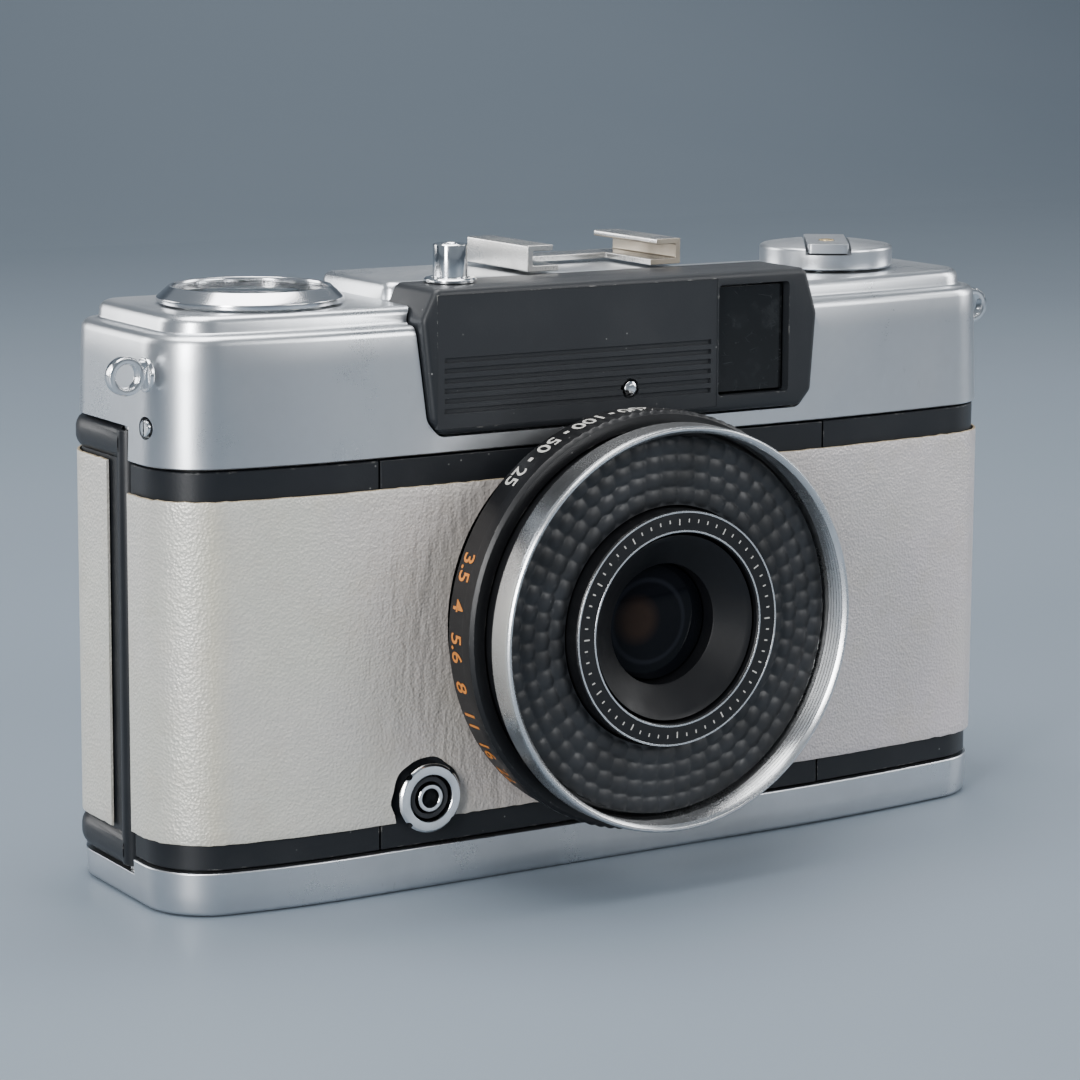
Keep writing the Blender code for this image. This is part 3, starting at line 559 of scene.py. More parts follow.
SATIN = satin_metal("satin_aluminium", (0.63, 0.65, 0.675), 0.25, 0.36)
RING_METAL = satin_metal("ring_aluminium", (0.66, 0.67, 0.68), 0.2, 0.32, 0.8)
SHOE_METAL = satin_metal("shoe_steel", (0.64, 0.63, 0.61), 0.18, 0.36, 1.3)
POLISHED = polished_metal("polished_chrome", (0.78, 0.79, 0.8))
BEZEL = satin_metal("bezel_chrome", (0.74, 0.75, 0.77), 0.13, 0.22, 0.3)
ENAMEL = black_paint("black_enamel", (0.0075, 0.0085, 0.0105), 0.34, 0.46, 0.6)
HOOD_PAINT = black_paint("hood_enamel", (0.0115, 0.013, 0.0155), 0.4, 0.52, 0.45, 0.7)
TRIM_PAINT = black_paint("trim_enamel", (0.0125, 0.014, 0.0165), 0.4, 0.5, 0.0, 0.5)
LENS_PAINT = black_paint("lens_enamel", (0.004, 0.0042, 0.005), 0.34, 0.46, 0.3, 0.3)
MATT_BLACK = plain("matt_black", (0.01, 0.01, 0.011), 0.0, 0.7)
PLASTIC = plain("black_plastic", (0.016, 0.017, 0.02), 0.0, 0.38)
CELL = plain("cell_plastic", (0.016, 0.0175, 0.02), 0.0, 0.46, 0.9, 0.03, 0.6, Specular_IOR_Level=0.4)
SKIN = leatherette("pearl_leatherette")
SKIN_EDGE = plain("leatherette_edge", (0.36, 0.29, 0.19), 0.0, 0.8, 0.4, 0.05, 0.45)
GRIME = satin_metal("soiled_steel", (0.4, 0.355, 0.29), 0.36, 0.6, 1.8)
STEEL = satin_metal("plain_steel", (0.45, 0.45, 0.45), 0.24, 0.4)
BRASS = satin_metal("old_brass", (0.45, 0.34, 0.17), 0.22, 0.42)
WINDOW = finder_glass("finder_glass")
COATED = lens_glass("coated_glass")
CONE = plain("cone_black", (0.0032, 0.0035, 0.0045), 0.0, 0.45, Specular_IOR_Level=0.22)
BLADE = plain("blade_steel", (0.03, 0.029, 0.028), 0.7, 0.42)
WHITE_PRINT = plain("white_print", (0.46, 0.45, 0.42), 0.0, 0.5, 0.2, 0.01)
ORANGE_PRINT = plain("orange_print", (0.6, 0.2, 0.025), 0.0, 0.5, 0.2, 0.01)


# ---- camera, light and floor
def make_stage():
    """Camera at the front left, a floor that curves up behind, and soft boxes."""
    camera = linked("camera", bpy.data.cameras.new("camera"))
    camera.location = Vector((-210.2, -338.8, 108.2)) * MM
    aim = Vector((-9.1, FRONT, 48.6)) * MM - camera.location
    camera.rotation_mode = "QUATERNION"
    turn = aim.to_track_quat("-Z", "Y")
    roll = Quaternion(turn @ Vector((0, 0, 1)), radians(0.3))
    camera.rotation_quaternion = roll @ turn
    camera.data.lens, camera.data.sensor_width = 113.9, 36.0
    camera.data.shift_y = -0.08
    camera.data.clip_start = 0.01
    bpy.context.scene.camera = camera

    half_width, depth, bend = 2600, 700, 900
    profile = [(-1500, -0.05), (depth, -0.05), *arc(depth, bend - 0.05, bend, -90, -8, 24)]
    points = [(x, y, z) for x in (-half_width, half_width) for y, z in profile]
    count = len(profile)
    faces = [[i, i + 1, count + i + 1, count + i] for i in range(count - 1)]
    make("floor", points, faces, FLOOR)

    for name, place, target, size, power in (
        ("light_top", (-40, 60, 640), (0, 0, 40), (700, 420), 8.4),
        ("light_left", (-600, -380, 230), (-20, 0, 40), (150, 420), 6.6),
        ("light_front", (430, -700, 420), (10, 0, 30), (460, 320), 4.2),
        ("light_right", (640, -120, 300), (0, 0, 40), (260, 420), 2.4),
        ("light_rear", (-470, 620, 260), (0, 0, 40), (320, 420), 3.0),
        ("light_sweep", (650, 900, 650), (700, 1100, 100), (600, 300), 2.2),
    ):
        lamp = linked(name, bpy.data.lights.new(name, "AREA"))
        lamp.location = Vector(place) * MM
        aim = (Vector(target) - Vector(place)) * MM
        lamp.rotation_euler = aim.to_track_quat("-Z", "Y").to_euler()
        lamp.data.shape = "RECTANGLE"
        lamp.data.size, lamp.data.size_y = size[0] * MM, size[1] * MM
        lamp.data.energy = power

    world = bpy.data.worlds.new("studio")
    world.use_nodes = True
    sky = world.node_tree.nodes["Background"].inputs
    sky["Color"].default_value = (0.48, 0.55, 0.63, 1)
    sky["Strength"].default_value = 0.46
    bpy.context.scene.world = world


# ---- body
def make_chassis():
    """Cast frame: black bands, side bars and the chambers behind the door."""
    inner = SHEET + 0.5
    low, high = BASE_TOP + GAP, COVER_BOTTOM - GAP
    levels = [(1.6, inner), (low, inner), (low, RECESS + 0.1), (low + 0.1, RECESS)]
    levels += [(high - 0.1, RECESS), (high, RECESS + 0.1), (high, inner), (53.5, inner)]
    chassis = stack("chassis_casting", body_outline, levels, ENAMEL)
    door_space = box("door_space", (-70, DOOR_FRONT - GAP, 3.3), (75, 40, 60))
    carve(door_space, [prism("door_core", body_outline(DOOR_WALL + 1.0), 0, 62)])
    cutters = [
        door_space,
        cylinder("hinge_relief", 1.85, 3.3, 60, HINGE),
        cylinder("pin_seat", 0.65, 0, 4, HINGE, segments=24),
        box("plate_pocket", (SEAM_LEFT - GAP, -25, 5.0), (SEAM_RIGHT + GAP, -12.1, COVER_BOTTOM)),
        box("film_pocket", (-30.1, FILM_PLANE, 11.5), (31.2, 40, 48.7)),
        cylinder("barrel_bore", 14.5, -20, -3.0, LENS, "Y"),
        box("light_tunnel", (-9, -10.5, LENS_Z - 12), (9, 20, LENS_Z + 12)),
        cylinder("rewind_bore", 2.2, 50, 60, REWIND),
        cylinder("tripod_seat", 4.5, 0, 6.2, TRIPOD),
        cylinder("release_seat", 2.3, 0, 3.2, RELEASE),
        box("latch_recess", (57.4, -7.2, 21.7), (65, -3.5, 38.3)),
    ]
    for name, (x, y), radius, bottom, top in (
        ("cassette_chamber", REWIND, 12.8, 7.5, 52.0),
        ("take_up_chamber", TAKE_UP, 10.8, 9.0, 51.0),
        ("sprocket_chamber", SPROCKET, 5.0, 9.1, 50.9),
    ):
        outline = [*arc(x, y, radius, 180, 360, 40), (x + radius, 40), (x - radius, 40)]
        cutters.append(prism(name, outline, bottom, top))
    carve(chassis, cutters)
    fixed(bevel(chassis, 0.1, 2), "black_paint", "chassis")

    for name, x0, x1 in (("rail_left", -16.6, -15.4), ("rail_right", 15.4, 16.6)):
        rail = box(name, (x0, 11.0, 13.2), (x1, FILM_PLANE + 0.12, 47.0), STEEL)
        fixed(bevel(rail, 0.08), "steel")


def make_front_plate():
    low = (SEAM_LEFT, FRONT + RECESS, BASE_TOP + GAP)
    panel = box("front_panel", low, (SEAM_RIGHT, -12.4, COVER_BOTTOM - GAP), ENAMEL)
    lens_bore = cylinder("plate_bore", 16.0, -20, -10, LENS, "Y")
    carve(panel, [lens_bore, cylinder("socket_bore", 3.2, -20, -10, SOCKET, "Y")])
    fixed(bevel(panel, 0.12), "black_paint", "front_plate")


def make_base():
    """Shallow drawn tray with a rolled lower edge, cut down at the rear for the door."""
    low_edge = [(0.0, 1.0), (0.1, 0.62), (0.3, 0.36), (0.6, 0.24)]
    levels = [*low_edge, (2.6, 0.12), (BASE_TOP - 0.12, 0.0), (BASE_TOP, 0.12)]
    base = stack("base_tray", body_outline, levels, SATIN)
    inside = stack("base_inside", body_outline, [(SHEET, SHEET + 0.2), (7, SHEET)])
    notch = box("base_notch", (-70, DOOR_FRONT - GAP, DOOR_LOW.z - GAP), (75, 40, 9))
    cutters = [inside, notch, cylinder("base_pin_seat", 0.65, 1.8, 4, HINGE, segments=24)]
    cutters.append(cylinder("tripod_bore", 5.3, -1, 3, TRIPOD))
    cutters.append(cylinder("release_bore", 2.3, -1, 3, RELEASE))
    for node in ("base_screw_left", "base_screw_right"):
        cutters.append(cylinder(node + "_bore", 1.6, -1, 3, middle(node).to_2d()))
    carve(base, cutters)
    fixed(bevel(base, 0.1), "satin_chrome", "base_plate")

    profile = [(3.15, 0), (5.0, 0), (5.0, 1.3), (4.2, 1.3), (4.2, 5.8)]
    turns, pitch = 7, 0.75
    for z in (5.4 - turn * pitch for turn in range(turns)):
        profile += [(3.35, z), (3.15, z - 0.37)]
    fixed(turned("tripod_thread", profile, TRIPOD, "Z", STEEL, 0.04, 72), "steel", "tripod_socket")
    profile = [(0, 0.3), (1.3, 0.3), (1.5, 0.15), (1.8, 0.15), (2.0, 0.4), (2.0, 1.1), (0, 1.1)]
    release = turned("release_stud", profile, RELEASE, "Z", POLISHED, 0.08, 48)
    piece(release, "rewind_release", "polished_chrome", "rewind_release_button")


def make_cover():
    """Drawn top cover with a shoulder, a step and a plateau, and a raised middle behind the hood."""
    edge = [(COVER_BOTTOM, 0.12), (COVER_BOTTOM + 0.12, 0.0), (60.0, 0.32), (62.9, 0.45), (63.35, 0.56)]
    edge += [(63.66, 0.78), (63.86, 1.08), (63.95, 1.5), (63.97, 1.95), (64.02, 2.2), (64.16, 2.36)]
    edge += [(64.4, 2.42), (65.1, 2.5), (65.5, 2.66), (65.76, 2.94), (65.91, 3.3), (COVER_PLATEAU, 3.8)]
    cover = stack("cover_shell", body_outline, edge, SATIN)

    def raised(inset):
        return rectangle(-24.3, HOOD_BACK + GAP, 16.5, 10.5, 2.0, inset)

    levels = [(64.6, 0), (65.6, 0.15), (67.0, 0.42), (67.5, 0.62), (67.75, 0.92), (67.86, 1.3), (67.9, 1.8)]
    carve(cover, [stack("raised_middle", raised, levels)], "UNION")
    inside = [(45, SHEET), (62.6, SHEET + 0.5), (62.9, SHEET + 2.4), (COVER_PLATEAU - SHEET, SHEET + 2.9)]
    cutters = [
        stack("cover_inside", body_outline, inside),
        stack("raised_inside", raised, [(62, SHEET), (67.0, SHEET + 0.6)]),
        plate("hood_opening", hood_outline, [(-20, -GAP), (HOOD_BACK + GAP, -GAP)]),
        cylinder("counter_bore", 8.8, 60, 70, COUNTER),
        cylinder("rewind_well", 4.6, 60, 70, REWIND),
        box("cover_notch", (-70, DOOR_FRONT - GAP, 40), (75, 40, DOOR_HIGH.z + GAP)),
        box("wheel_slot", (WHEEL.x - 7.6, 8, 50), (WHEEL.x + 7.6, 20, 58.9)),
        box("eye_opening", (FINDER_X - 4.7, 8, FINDER_Z - 3.4), (FINDER_X + 4.7, 20, FINDER_Z + 3.4)),
    ]
    for x, side in ((LEFT, -1), (RIGHT, 1)):
        cutters.append(cylinder(f"screw_bore_{side}", 1.25, *sorted((x - 4, x + 4)), SIDE_SCREW, "X"))
    carve(cover, cutters)
    fixed(bevel(cover, 0.1), "satin_chrome", "top_cover")


def make_screws():
    """Slotted screws in the cover's ends and in the base."""
    for name, x, side in (("left", LEFT, -1), ("right", RIGHT, 1)):
        face = x - 0.05 * side
        profile = hoop(0, 0.95, face, face - side)
        screw = turned(f"side_screw_{name}", profile, SIDE_SCREW, "X", POLISHED, 0.2, 40)
        low, high = sorted((face - 0.4 * side, face + side))
        carve(screw, [box("slot", (low, -7.15, 52), (high, -6.85, 56))])
        fixed(screw, "steel", f"cover_screw_{name}")
        node = f"base_screw_{name}"
        place = middle(node).to_2d()
        profile = [(0, 0.2), (1.3, 0.2), (1.3, 0.7), (0.7, 0.9), (0.7, 1.3), (0, 1.3)]
        screw = turned(f"bottom_screw_{name}", profile, place, "Z", STEEL, 0.12, 40)
        carve(screw, [box("slot", (place.x - 2, -0.2, 0.0), (place.x + 2, 0.2, 0.45))])
        fixed(screw, "steel", node)


def make_lugs():
    """Strap lugs: an oval flange on the wall and a polished ring on a short neck."""
    for side, node in ((-1, "strap_lug_left"), (1, "strap_lug_right")):
        low, high = span(node)
        y, z = (low.y + high.y) / 2, (low.z + high.z) / 2
        wall = high.x if side < 0 else low.x
        eye = (low.x + 2.15) if side < 0 else (high.x - 2.15)
        profile = hoop(0, 1.9, *sorted((wall, wall + 0.6 * side)))
        flange = turned(f"lug_flange_{node[10:]}", profile, (y, z), "X", POLISHED, 0.25, 48)
        start, end = sorted((wall, eye))
        neck = box("neck", (start, y - 0.62, z - 1.45), (end, y + 0.62, z + 1.45))
        ring = turned("ring", hoop(1.3, 2.13, y - 0.68, y + 0.68), (eye, z), "Y", None, 0.3, 56)
        carve(neck, [cylinder("eye", 1.34, y - 3, y + 3, (eye, z), "Y")])
        carve(flange, [neck, ring], "UNION")
        fixed(bevel(flange, 0.08), "polished_chrome", node)


# ---- finder hood and finder
def make_hood():
    """Black hood with softened front edges, a deep window and a grooved trim plate."""
    front = FRONT - 0.8
    levels = [(front + out, inset) for out, inset in ((0, 0.75), (0.04, 0.5), (0.16, 0.27), (0.36, 0.1))]
    levels += [(front + 0.7, 0), (HOOD_BACK, 0)]
    hood = plate("hood_shell", hood_outline, levels, HOOD_PAINT)
    x, z = FINDER_X, 60.05
    opening = rectangle(x - 5.0, z - 6.5, x + 5.0, z + 6.5, 0.5)
    cutters = [
        box("hood_inside", (-23.0, FRONT + 1.0, 40), (27.0, 5, 66.9)),
        box("hood_skirt", (-40, FRONT + 1.0, 40), (40, 5, 53.9)),
        loft("hood_window", [[(px, py, pz) for px, pz in opening] for py in (-30, 5)]),
        box("trim_recess", (-22.9, -30, 52.4), (14.5, FRONT + 0.1, 67.3)),
        cylinder("collar_bore", 2.5, 60, 75, BUTTON),
    ]
    carve(hood, cutters)
    fixed(bevel(hood, 0.16, 3), "black_plastic", "finder_hood")

    low, high = span("trim_plate")
    slack = Vector((0.28, 0, 0.28))
    low, high = low - slack, high + slack
    trim = box("trim_panel", low, high, TRIM_PAINT)
    grooves, pitch = 6, 1.13
    for index in range(grooves):
        z = 54.1 + pitch * index
        carve(trim, [box("groove", (low.x + 0.9, FRONT - 2, z), (high.x - 0.8, FRONT - 0.42, z + 0.56))])
    carve(trim, [cylinder("trim_screw_bore", 1.15, -20, -10, SCREW, "Y")])
    fixed(bevel(trim, 0.06, 3), "black_plastic", "trim_plate")

    profile = [(0, -16.02), (0.5, -15.98), (0.85, -15.75), (0.85, -15.25), (0, -15.25)]
    fixed(turned("hood_screw", profile, SCREW, "Y", POLISHED, 0.1, 48), "polished_chrome", "trim_screw")

    window = box("finder_pane", *span("finder_window"), WINDOW)
    fixed(bevel(window, 0.15), "optical_glass", "finder_window")


# ---- top controls
def make_button():
    low, high = span("shutter_button")
    top = high.z
    profile = [(0, top - 1.7), (0.85, top - 1.6), (0.9, top - 0.1)]
    profile += [(1.0, top), (1.8, top), (1.95, top - 0.12)]
    profile += [(1.95, 66.0), (1.2, 66.0), (1.2, low.z), (0, low.z)]
    button = turned("release_button", profile, BUTTON, "Z", POLISHED, 0.04, 72)
    piece(button, "shutter_release", "polished_chrome", "shutter_button")
    low, high = span("button_collar")
    flange = DECK + 0.1
    profile = [(2.1, low.z), (2.35, low.z), (2.35, flange), (2.95, flange), (2.95, high.z - 0.15)]
    profile += [(2.75, high.z), (2.1, high.z)]
    collar = turned("release_collar", profile, BUTTON, "Z", POLISHED, 0.06, 72)
    fixed(collar, "polished_chrome", "button_collar")


def make_counter():
    """Conical bezel over a numbered dial, under a flat window."""
    low, high = span("counter_bezel")
    profile = [(8.6, low.z), (10.4, low.z), (10.4, 66.75), (10.1, 67.0), (9.05, high.z), (8.7, high.z)]
    profile.append((8.6, 67.7))
    fixed(turned("dial_bezel", profile, COUNTER, "Z", BEZEL, 0.1), "polished_chrome", "counter_bezel")
    low, high = span("counter_window")
    glass = Finish("dial_glass", (0.9, 0.92, 0.92), 0.0, 0.03, Transmission_Weight=1.0, IOR=1.03)
    window = turned("dial_window", hoop(0, 8.3, low.z, high.z), COUNTER, "Z", glass.material, 0.15)
    fixed(window, "optical_glass", "counter_window")
    low, high = span("counter_disc")
    profile = [(0, low.z), (1.0, low.z), *hoop(1.0, 8.1, high.z - 0.6, high.z)[:3], (0, high.z)]
    disc = turned("dial_disc", profile, COUNTER, "Z", MATT_BLACK, 0.05)
    piece(disc, "counter", "dial_white", "counter_disc")
    top = high.z + 0.02
    marks, frames, places = [], 72, 80
    for index in range(0, frames, 2):
        angle = radians(90 - 360 * index / places)
        inner = 6.1 if index % 10 == 0 else 6.9
        marks.append(radial_bar(COUNTER, angle, inner, 7.7, 0.14, top))
    piece(flat_marks("dial_ticks", marks, WHITE_PRINT), "counter", "dial_white")
    for number in range(0, frames, 12):
        angle = radians(90 - 360 * number / places)
        x, y = COUNTER.x + 4.9 * cos(angle), COUNTER.y + 4.9 * sin(angle)

        def lay(u, v, x=x, y=y, turn=angle - pi / 2):
            return (x + (u * cos(turn) - v * sin(turn)), y + (u * sin(turn) + v * cos(turn)), top)

        digits = lettering(f"dial_number_{number}", str(number), 1.7, lay, WHITE_PRINT)
        piece(digits, "counter", "dial_white")


def radial_bar(centre, angle, inner, outer, width, height):
    """Four corners of a flat mark that points away from a centre."""
    along = Vector((cos(angle), sin(angle)))
    side = Vector((-along.y, along.x)) * width / 2
    start, end = Vector(centre) + along * inner, Vector(centre) + along * outer
    return [(*corner, height) for corner in (start - side, end - side, end + side, start + side)]


def flat_marks(name, quads, material):
    points = [corner for quad in quads for corner in quad]
    return make(name, points, [range(i, i + 4) for i in range(0, len(points), 4)], material)


def lettering(name, text, size, lay, material):
    """Number set in the built-in face; lay(u, v) puts each point of it on a surface."""
    curve = bpy.data.curves.new(name, "FONT")
    curve.body = text
    curve.size = size
    curve.align_x = curve.align_y = "CENTER"
    curve.resolution_u = 4
    curve.offset = size * 0.012
    writing = linked(name + "_curve", curve)
    mesh = evaluated(writing)
    bpy.data.objects.remove(writing, do_unlink=True)
    for vertex in mesh.vertices:
        vertex.co = Vector(lay(vertex.co.x, vertex.co.y)) * MM
    mesh.materials.clear()
    mesh.materials.append(material)
    return linked(name, mesh)


def make_advance():
    """Knurled thumb wheel in the rear slot."""
    low, high = span("advance_wheel")

    teeth = 48

    def knurl(radius, angle):
        return radius - 0.42 * (0.5 + 0.5 * cos(teeth * angle)) ** 2 if radius >= 9 else radius

    low, high = low.z, high.z
    profile = [(0, low), (10.9, low), (10.9, high), (9.3, high), (8.8, high - 0.5), (0, high - 0.5)]
    wheel = turned("thumb_wheel", profile, WHEEL, "Z", PLASTIC, 0.3, teeth * 8, knurl)
    piece(wheel, "advance", "black_plastic", "advance_wheel")


def spun(points):
    """Points turned about the rewind axis, from the Y direction to where the crank rests."""
    x, y = REWIND
    east, north = cos(radians(CRANK_TURN)), sin(radians(CRANK_TURN))
    return [(x + east * (u - x) - north * (v - y), y + north * (u - x) + east * (v - y)) for u, v in points]


def make_rewind():
    """Rewind knob with a low dome and its folding crank."""
    x, y = REWIND
    low, high = span("rewind_knob")
    profile = [(0, low.z), (4.2, low.z), (4.2, 66.25), (7.9, 66.25), (8.15, 66.5), (8.15, 68.5), (8.07, 68.7)]
    profile += [(7.8, 68.84), (6.5, 69.05), (5.0, 69.25), (2.5, 69.43), (0, high.z)]
    knob = turned("knob_drum", profile, REWIND, "Z", SATIN, 0.08)
    cutters = [
        prism(name, spun(rectangle(x - half, y + start, x + half, y + end, 0.3)), bottom, 75)
        for name, half, start, end, bottom in (
            ("crank_slot", 2.8, -9, 9, 68.1),
            ("hinge_relief", 2.8, 3.4, 9, 67.7),
            ("handle_pocket", 2.2, -4.0, 0.8, 65.3),
        )
    ]
    carve(knob, cutters)
    piece(bevel(knob, 0.1), "rewind", "satin_chrome", "rewind_knob")
    low, high = span("rewind_crank")
    outline = spun(rectangle(x - 2.5, y - 7.4, x + 2.5, y + 6.6, 0.5))
    arm = prism("crank_arm", outline, low.z, high.z, SATIN)
    rivet = spun([(x, y - 1.4)])[0]
    carve(arm, [cylinder("rivet_bore", 1.1, 60, 75, rivet)])
    piece(bevel(arm, 0.16, 3), "crank", "satin_chrome", "rewind_crank")
    low, high = span("crank_handle")
    profile = [(0, low.z), (1.5, low.z), (1.8, 66.0), (1.8, 67.7), (1.5, 68.0), (0.8, 68.0), (0.8, 69.35)]
    profile += [(0.95, 69.37), (0.9, 69.5), (0.5, high.z), (0, high.z - 0.12)]
    piece(turned("crank_grip", profile, rivet, "Z", BRASS, 0.06, 48), "handle", "brass", "crank_handle")


def make_shoe():
    """Folded accessory shoe: two channels and a bridge, dirty inside the right one."""
    low, high = span("accessory_shoe")
    lip, wall = 3.4, 0.7
    half = [(0, high.z), (lip, high.z), (lip, high.z - wall), (wall, high.z - wall), (wall, low.z + wall)]
    section = [(low.x, low.z), (high.x, low.z), *((high.x - x, z) for x, z in half)]
    section += [(low.x + x, z) for x, z in half[::-1]]
    outline = softened(section, 0.22, 4)
    shoe = loft("shoe_channel", [[(x, y, z) for x, z in outline] for y in (low.y, high.y)], SHOE_METAL)
    carve(shoe, [box("opening", (low.x + 4.2, low.y - 1, 60), (high.x - 4.2, high.y - 4.0, 75))])
    shoe.data.materials.append(GRIME)
    for face in shoe.data.polygons:
        place = face.center / MM
        if high.x - lip < place.x < high.x - 0.5 and low.z + 0.4 < place.z < high.z - 0.5:
            face.material_index = 1
    fixed(bevel(shoe, 0.09), "satin_chrome", "accessory_shoe")


# ---- door
def make_door():
    """Hinged back: wrap-round shell with rounded upper and lower lips and a hinge barrel."""
    lip, face, end = -0.35, RECESS, 0.7
    bottom, top = DOOR_LOW.z, DOOR_HIGH.z
    levels = [(bottom, end), (bottom + 0.15, 0.3), (4.1, 0.02), (4.5, -0.2), (5.0, lip), (6.1, lip)]
    levels += [(6.6, -0.22), (7.0, 0.02), (7.3, face)]
    levels += [(49.6, face), (49.85, 0.05), (50.25, -0.2), (50.7, lip)]
    levels += [(51.9, lip), (52.4, -0.22), (52.8, 0.0), (top - 0.12, 0.35), (top, end)]
    inside = back_path(RECESS + DOOR_WALL, HINGE.y)[::-1]
    rings = [[(x, y, z) for x, y in back_path(inset, HINGE.y) + inside] for z, inset in levels]
    door = loft("door_shell", rings, ENAMEL)
    barrel = turned("barrel", hoop(0, 1.35, bottom + 0.3, top - 0.3), HINGE, "Z", None, 0.2, 64)
    carve(door, [barrel], "UNION")
    carve(door, [cylinder("hinge_bore", 0.75, 0, 60, HINGE, segments=32)])
    piece(bevel(door, 0.12, 3), "door", "black_paint", "back_door")


# ---- covering
def walked(path, step):
    """Points along a path about a step apart, each with the outward direction."""
    spots = []
    for start, end in zip(path, path[1:]):
        start, end = Vector(start), Vector(end)
        length = (end - start).length
        count = max(1, round(length / step))
        along = (end - start).normalized()
        for index in range(count):
            spots.append((start.lerp(end, index / count), Vector((along.y, -along.x))))
    return [*spots, (Vector(path[-1]), spots[-1][1])]


def rag(distance, coarse, fine):
    """How far a hand-cut edge strays, from two rows of the noise field."""
    slow = noise.noise((distance * 0.9, coarse, 0))
    return 0.10 * slow + 0.06 * noise.noise((distance * 3.1, fine, 0))


def skin(name, path, bottom, top, body, node, cutters=()):
    """Leatherette along a path: soft upper and lower edges that were cut by hand."""
    thickness, rows = 0.3, 40
    rings, distance = [], 0.0
    spots = walked(path, 0.9)
    for index, (spot, outward) in enumerate(spots):
        if index:
            distance += (spot - spots[index - 1][0]).length
        low, high = bottom + 0.1 + rag(distance, 3.0, 9.0), top - 0.1 + rag(distance, 31.0, 47.0)
        column = [(-thickness, low), (-0.1, low), (-0.02, low + 0.05), (0.0, low + 0.16)]
        column += [(0.0, low + 0.2 + (high - low - 0.4) * row / rows) for row in range(1, rows)]
        column += [(0.0, high - 0.16), (-0.02, high - 0.05), (-0.1, high), (-thickness, high)]
        rings.append([(*(spot + outward * out), z) for out, z in column])
    cover = loft(name, rings, SKIN)
    cover.data.materials.append(SKIN_EDGE)
    if cutters:
        carve(cover, cutters)
    for face in cover.data.polygons:
        if abs(face.normal.z) > 0.75:
            face.material_index = 1
    return piece(cover, body, "leatherette", node)


def make_covering():
    outer, front_y = -0.25, DOOR_FRONT - 0.4

    def lens_cutter():
        return cylinder("leather_bore", 21.3, -25, -10, LENS, "Y", segments=160)

    ragged, steps = [], 64
    for index in range(steps):
        angle = tau * index / steps
        along = Vector((cos(angle), sin(angle)))
        reach = 4.5 + 0.45 * noise.noise((*(2.2 * along), 5.0))
        ragged.append(SOCKET + along * reach)
    socket_cutter = loft("socket_cutter", [[(x, y, z) for x, z in ragged] for y in (-25, -10)])
    low, high = LEATHER_LOW.z, LEATHER_HIGH.z
    cutters = [lens_cutter(), socket_cutter]
    path = front_path(outer, -1, -8, front_y)
    skin("skin_left", path, low, high, "camera_body", "leather_left", cutters)
    cutters = [lens_cutter(), box("latch_gap", (54, -7.5, 21.4), (65, 0, 38.6))]
    path = front_path(outer, 1, 8, front_y)
    skin("skin_right", path, low, high, "camera_body", "leather_right", cutters)
    low, high = span("door_leather")
    skin("skin_door", back_path(outer, 2.0)[::-1], low.z, high.z, "door", "door_leather")


# ---- lens
def lens_ring(name, profile, material, soft=0.08, segments=ROUND, ripple=None):
    """Ring or disc on the lens axis; places are measured forwards from the front face."""
    places = [(radius, FRONT - forward) for radius, forward in profile]
    return turned(name, places, LENS, "Y", material, soft, segments, ripple)


def on_ring(radius, angle, forward):
    """Point on a circle round the lens axis, forwards from the front face."""
    return (radius * cos(angle), FRONT - forward, LENS_Z + radius * sin(angle))


def bubble(radius, angle):
    """Height of the moulded bubbles over the flat cell, from nought to one."""
    inner, pitch, rows, first, peak = 13.9, 1.86, 4, 42, 1.4
    if not inner < radius < inner + rows * pitch:
        return 0.0
    row = (radius - inner) / pitch
    index = min(int(row), rows - 1)
    across = 2 * (row - index) - 1
    turn = angle * (first + 6 * index) / (tau) + 0.5 * (index % 2)
    along = 2 * (turn - floor(turn)) - 1
    return max(0.0, peak - across * across - along * along) / peak


def make_setting_ring():
    """Ring with the exposure numbers, gripped at its top and bottom."""
    teeth = 110

    def scallops(radius, angle):
        grip = min(max(4 * abs(sin(angle)) - 3.2, 0), 1)
        return radius - 0.2 * grip * (0.5 + 0.5 * cos(teeth * angle)) ** 2 if radius >= 23.9 else radius

    profile = [(22.2, 4.5), (23.55, 4.5), (23.7, 4.65), (23.7, 7.7), (23.97, 7.9), (24.0, 9.5), (23.6, 9.9)]
    ring = lens_ring("scale_ring", [*profile, (22.2, 9.9)], LENS_PAINT, 0.08, teeth * 8, scallops)
    piece(ring, "exposure_ring", "black_paint", "setting_ring")
    radius, place, half = 23.73, 6.15, 0.3
    orange = {"3.5": 161, "4": 171.5, "5.6": 183, "8": 194, "11": 204, "16": 214, "22": 224}
    white = {"25": 133, "50": 120, "100": 106, "200": 91, "400": 76}
    for text, around in {**orange, **white}.items():

        def wrap(u, v, start=radians(around)):
            return on_ring(radius, start + u / radius, place + v)

        material = ORANGE_PRINT if text in orange else WHITE_PRINT
        number = lettering("scale_" + text.replace(".", "_"), text, 2.9, wrap, material)
        piece(number, "exposure_ring", "black_paint")
    corners = ((-half, -half), (half, -half), (half, half), (-half, half))
    dots = [
        [on_ring(radius, radians(around) + u / radius, place + v) for u, v in corners]
        for around in (126.5, 113.5, 98.5, 83.5)
    ]
    piece(flat_marks("scale_dots", dots, WHITE_PRINT), "exposure_ring", "black_paint")


def make_cell():
    """Ring of moulded bubbles over the meter cell."""
    inner, outer, radial, around = 13.7, 21.4, 56, 682
    angles = [tau * j / around for j in range(around)]
    radii = [inner + (outer - inner) * i / radial for i in range(radial + 1)]
    rings = [[on_ring(r, a, 12.75 + 0.3 * bubble(r, a)) for a in angles] for r in radii]
    rings += [[on_ring(r, a, 11.8) for a in angles] for r in (outer, inner)]
    fixed(loft("bubble_cell", rings, CELL, closed=True, sharp=60), "cell_lens", "selenium_cell")


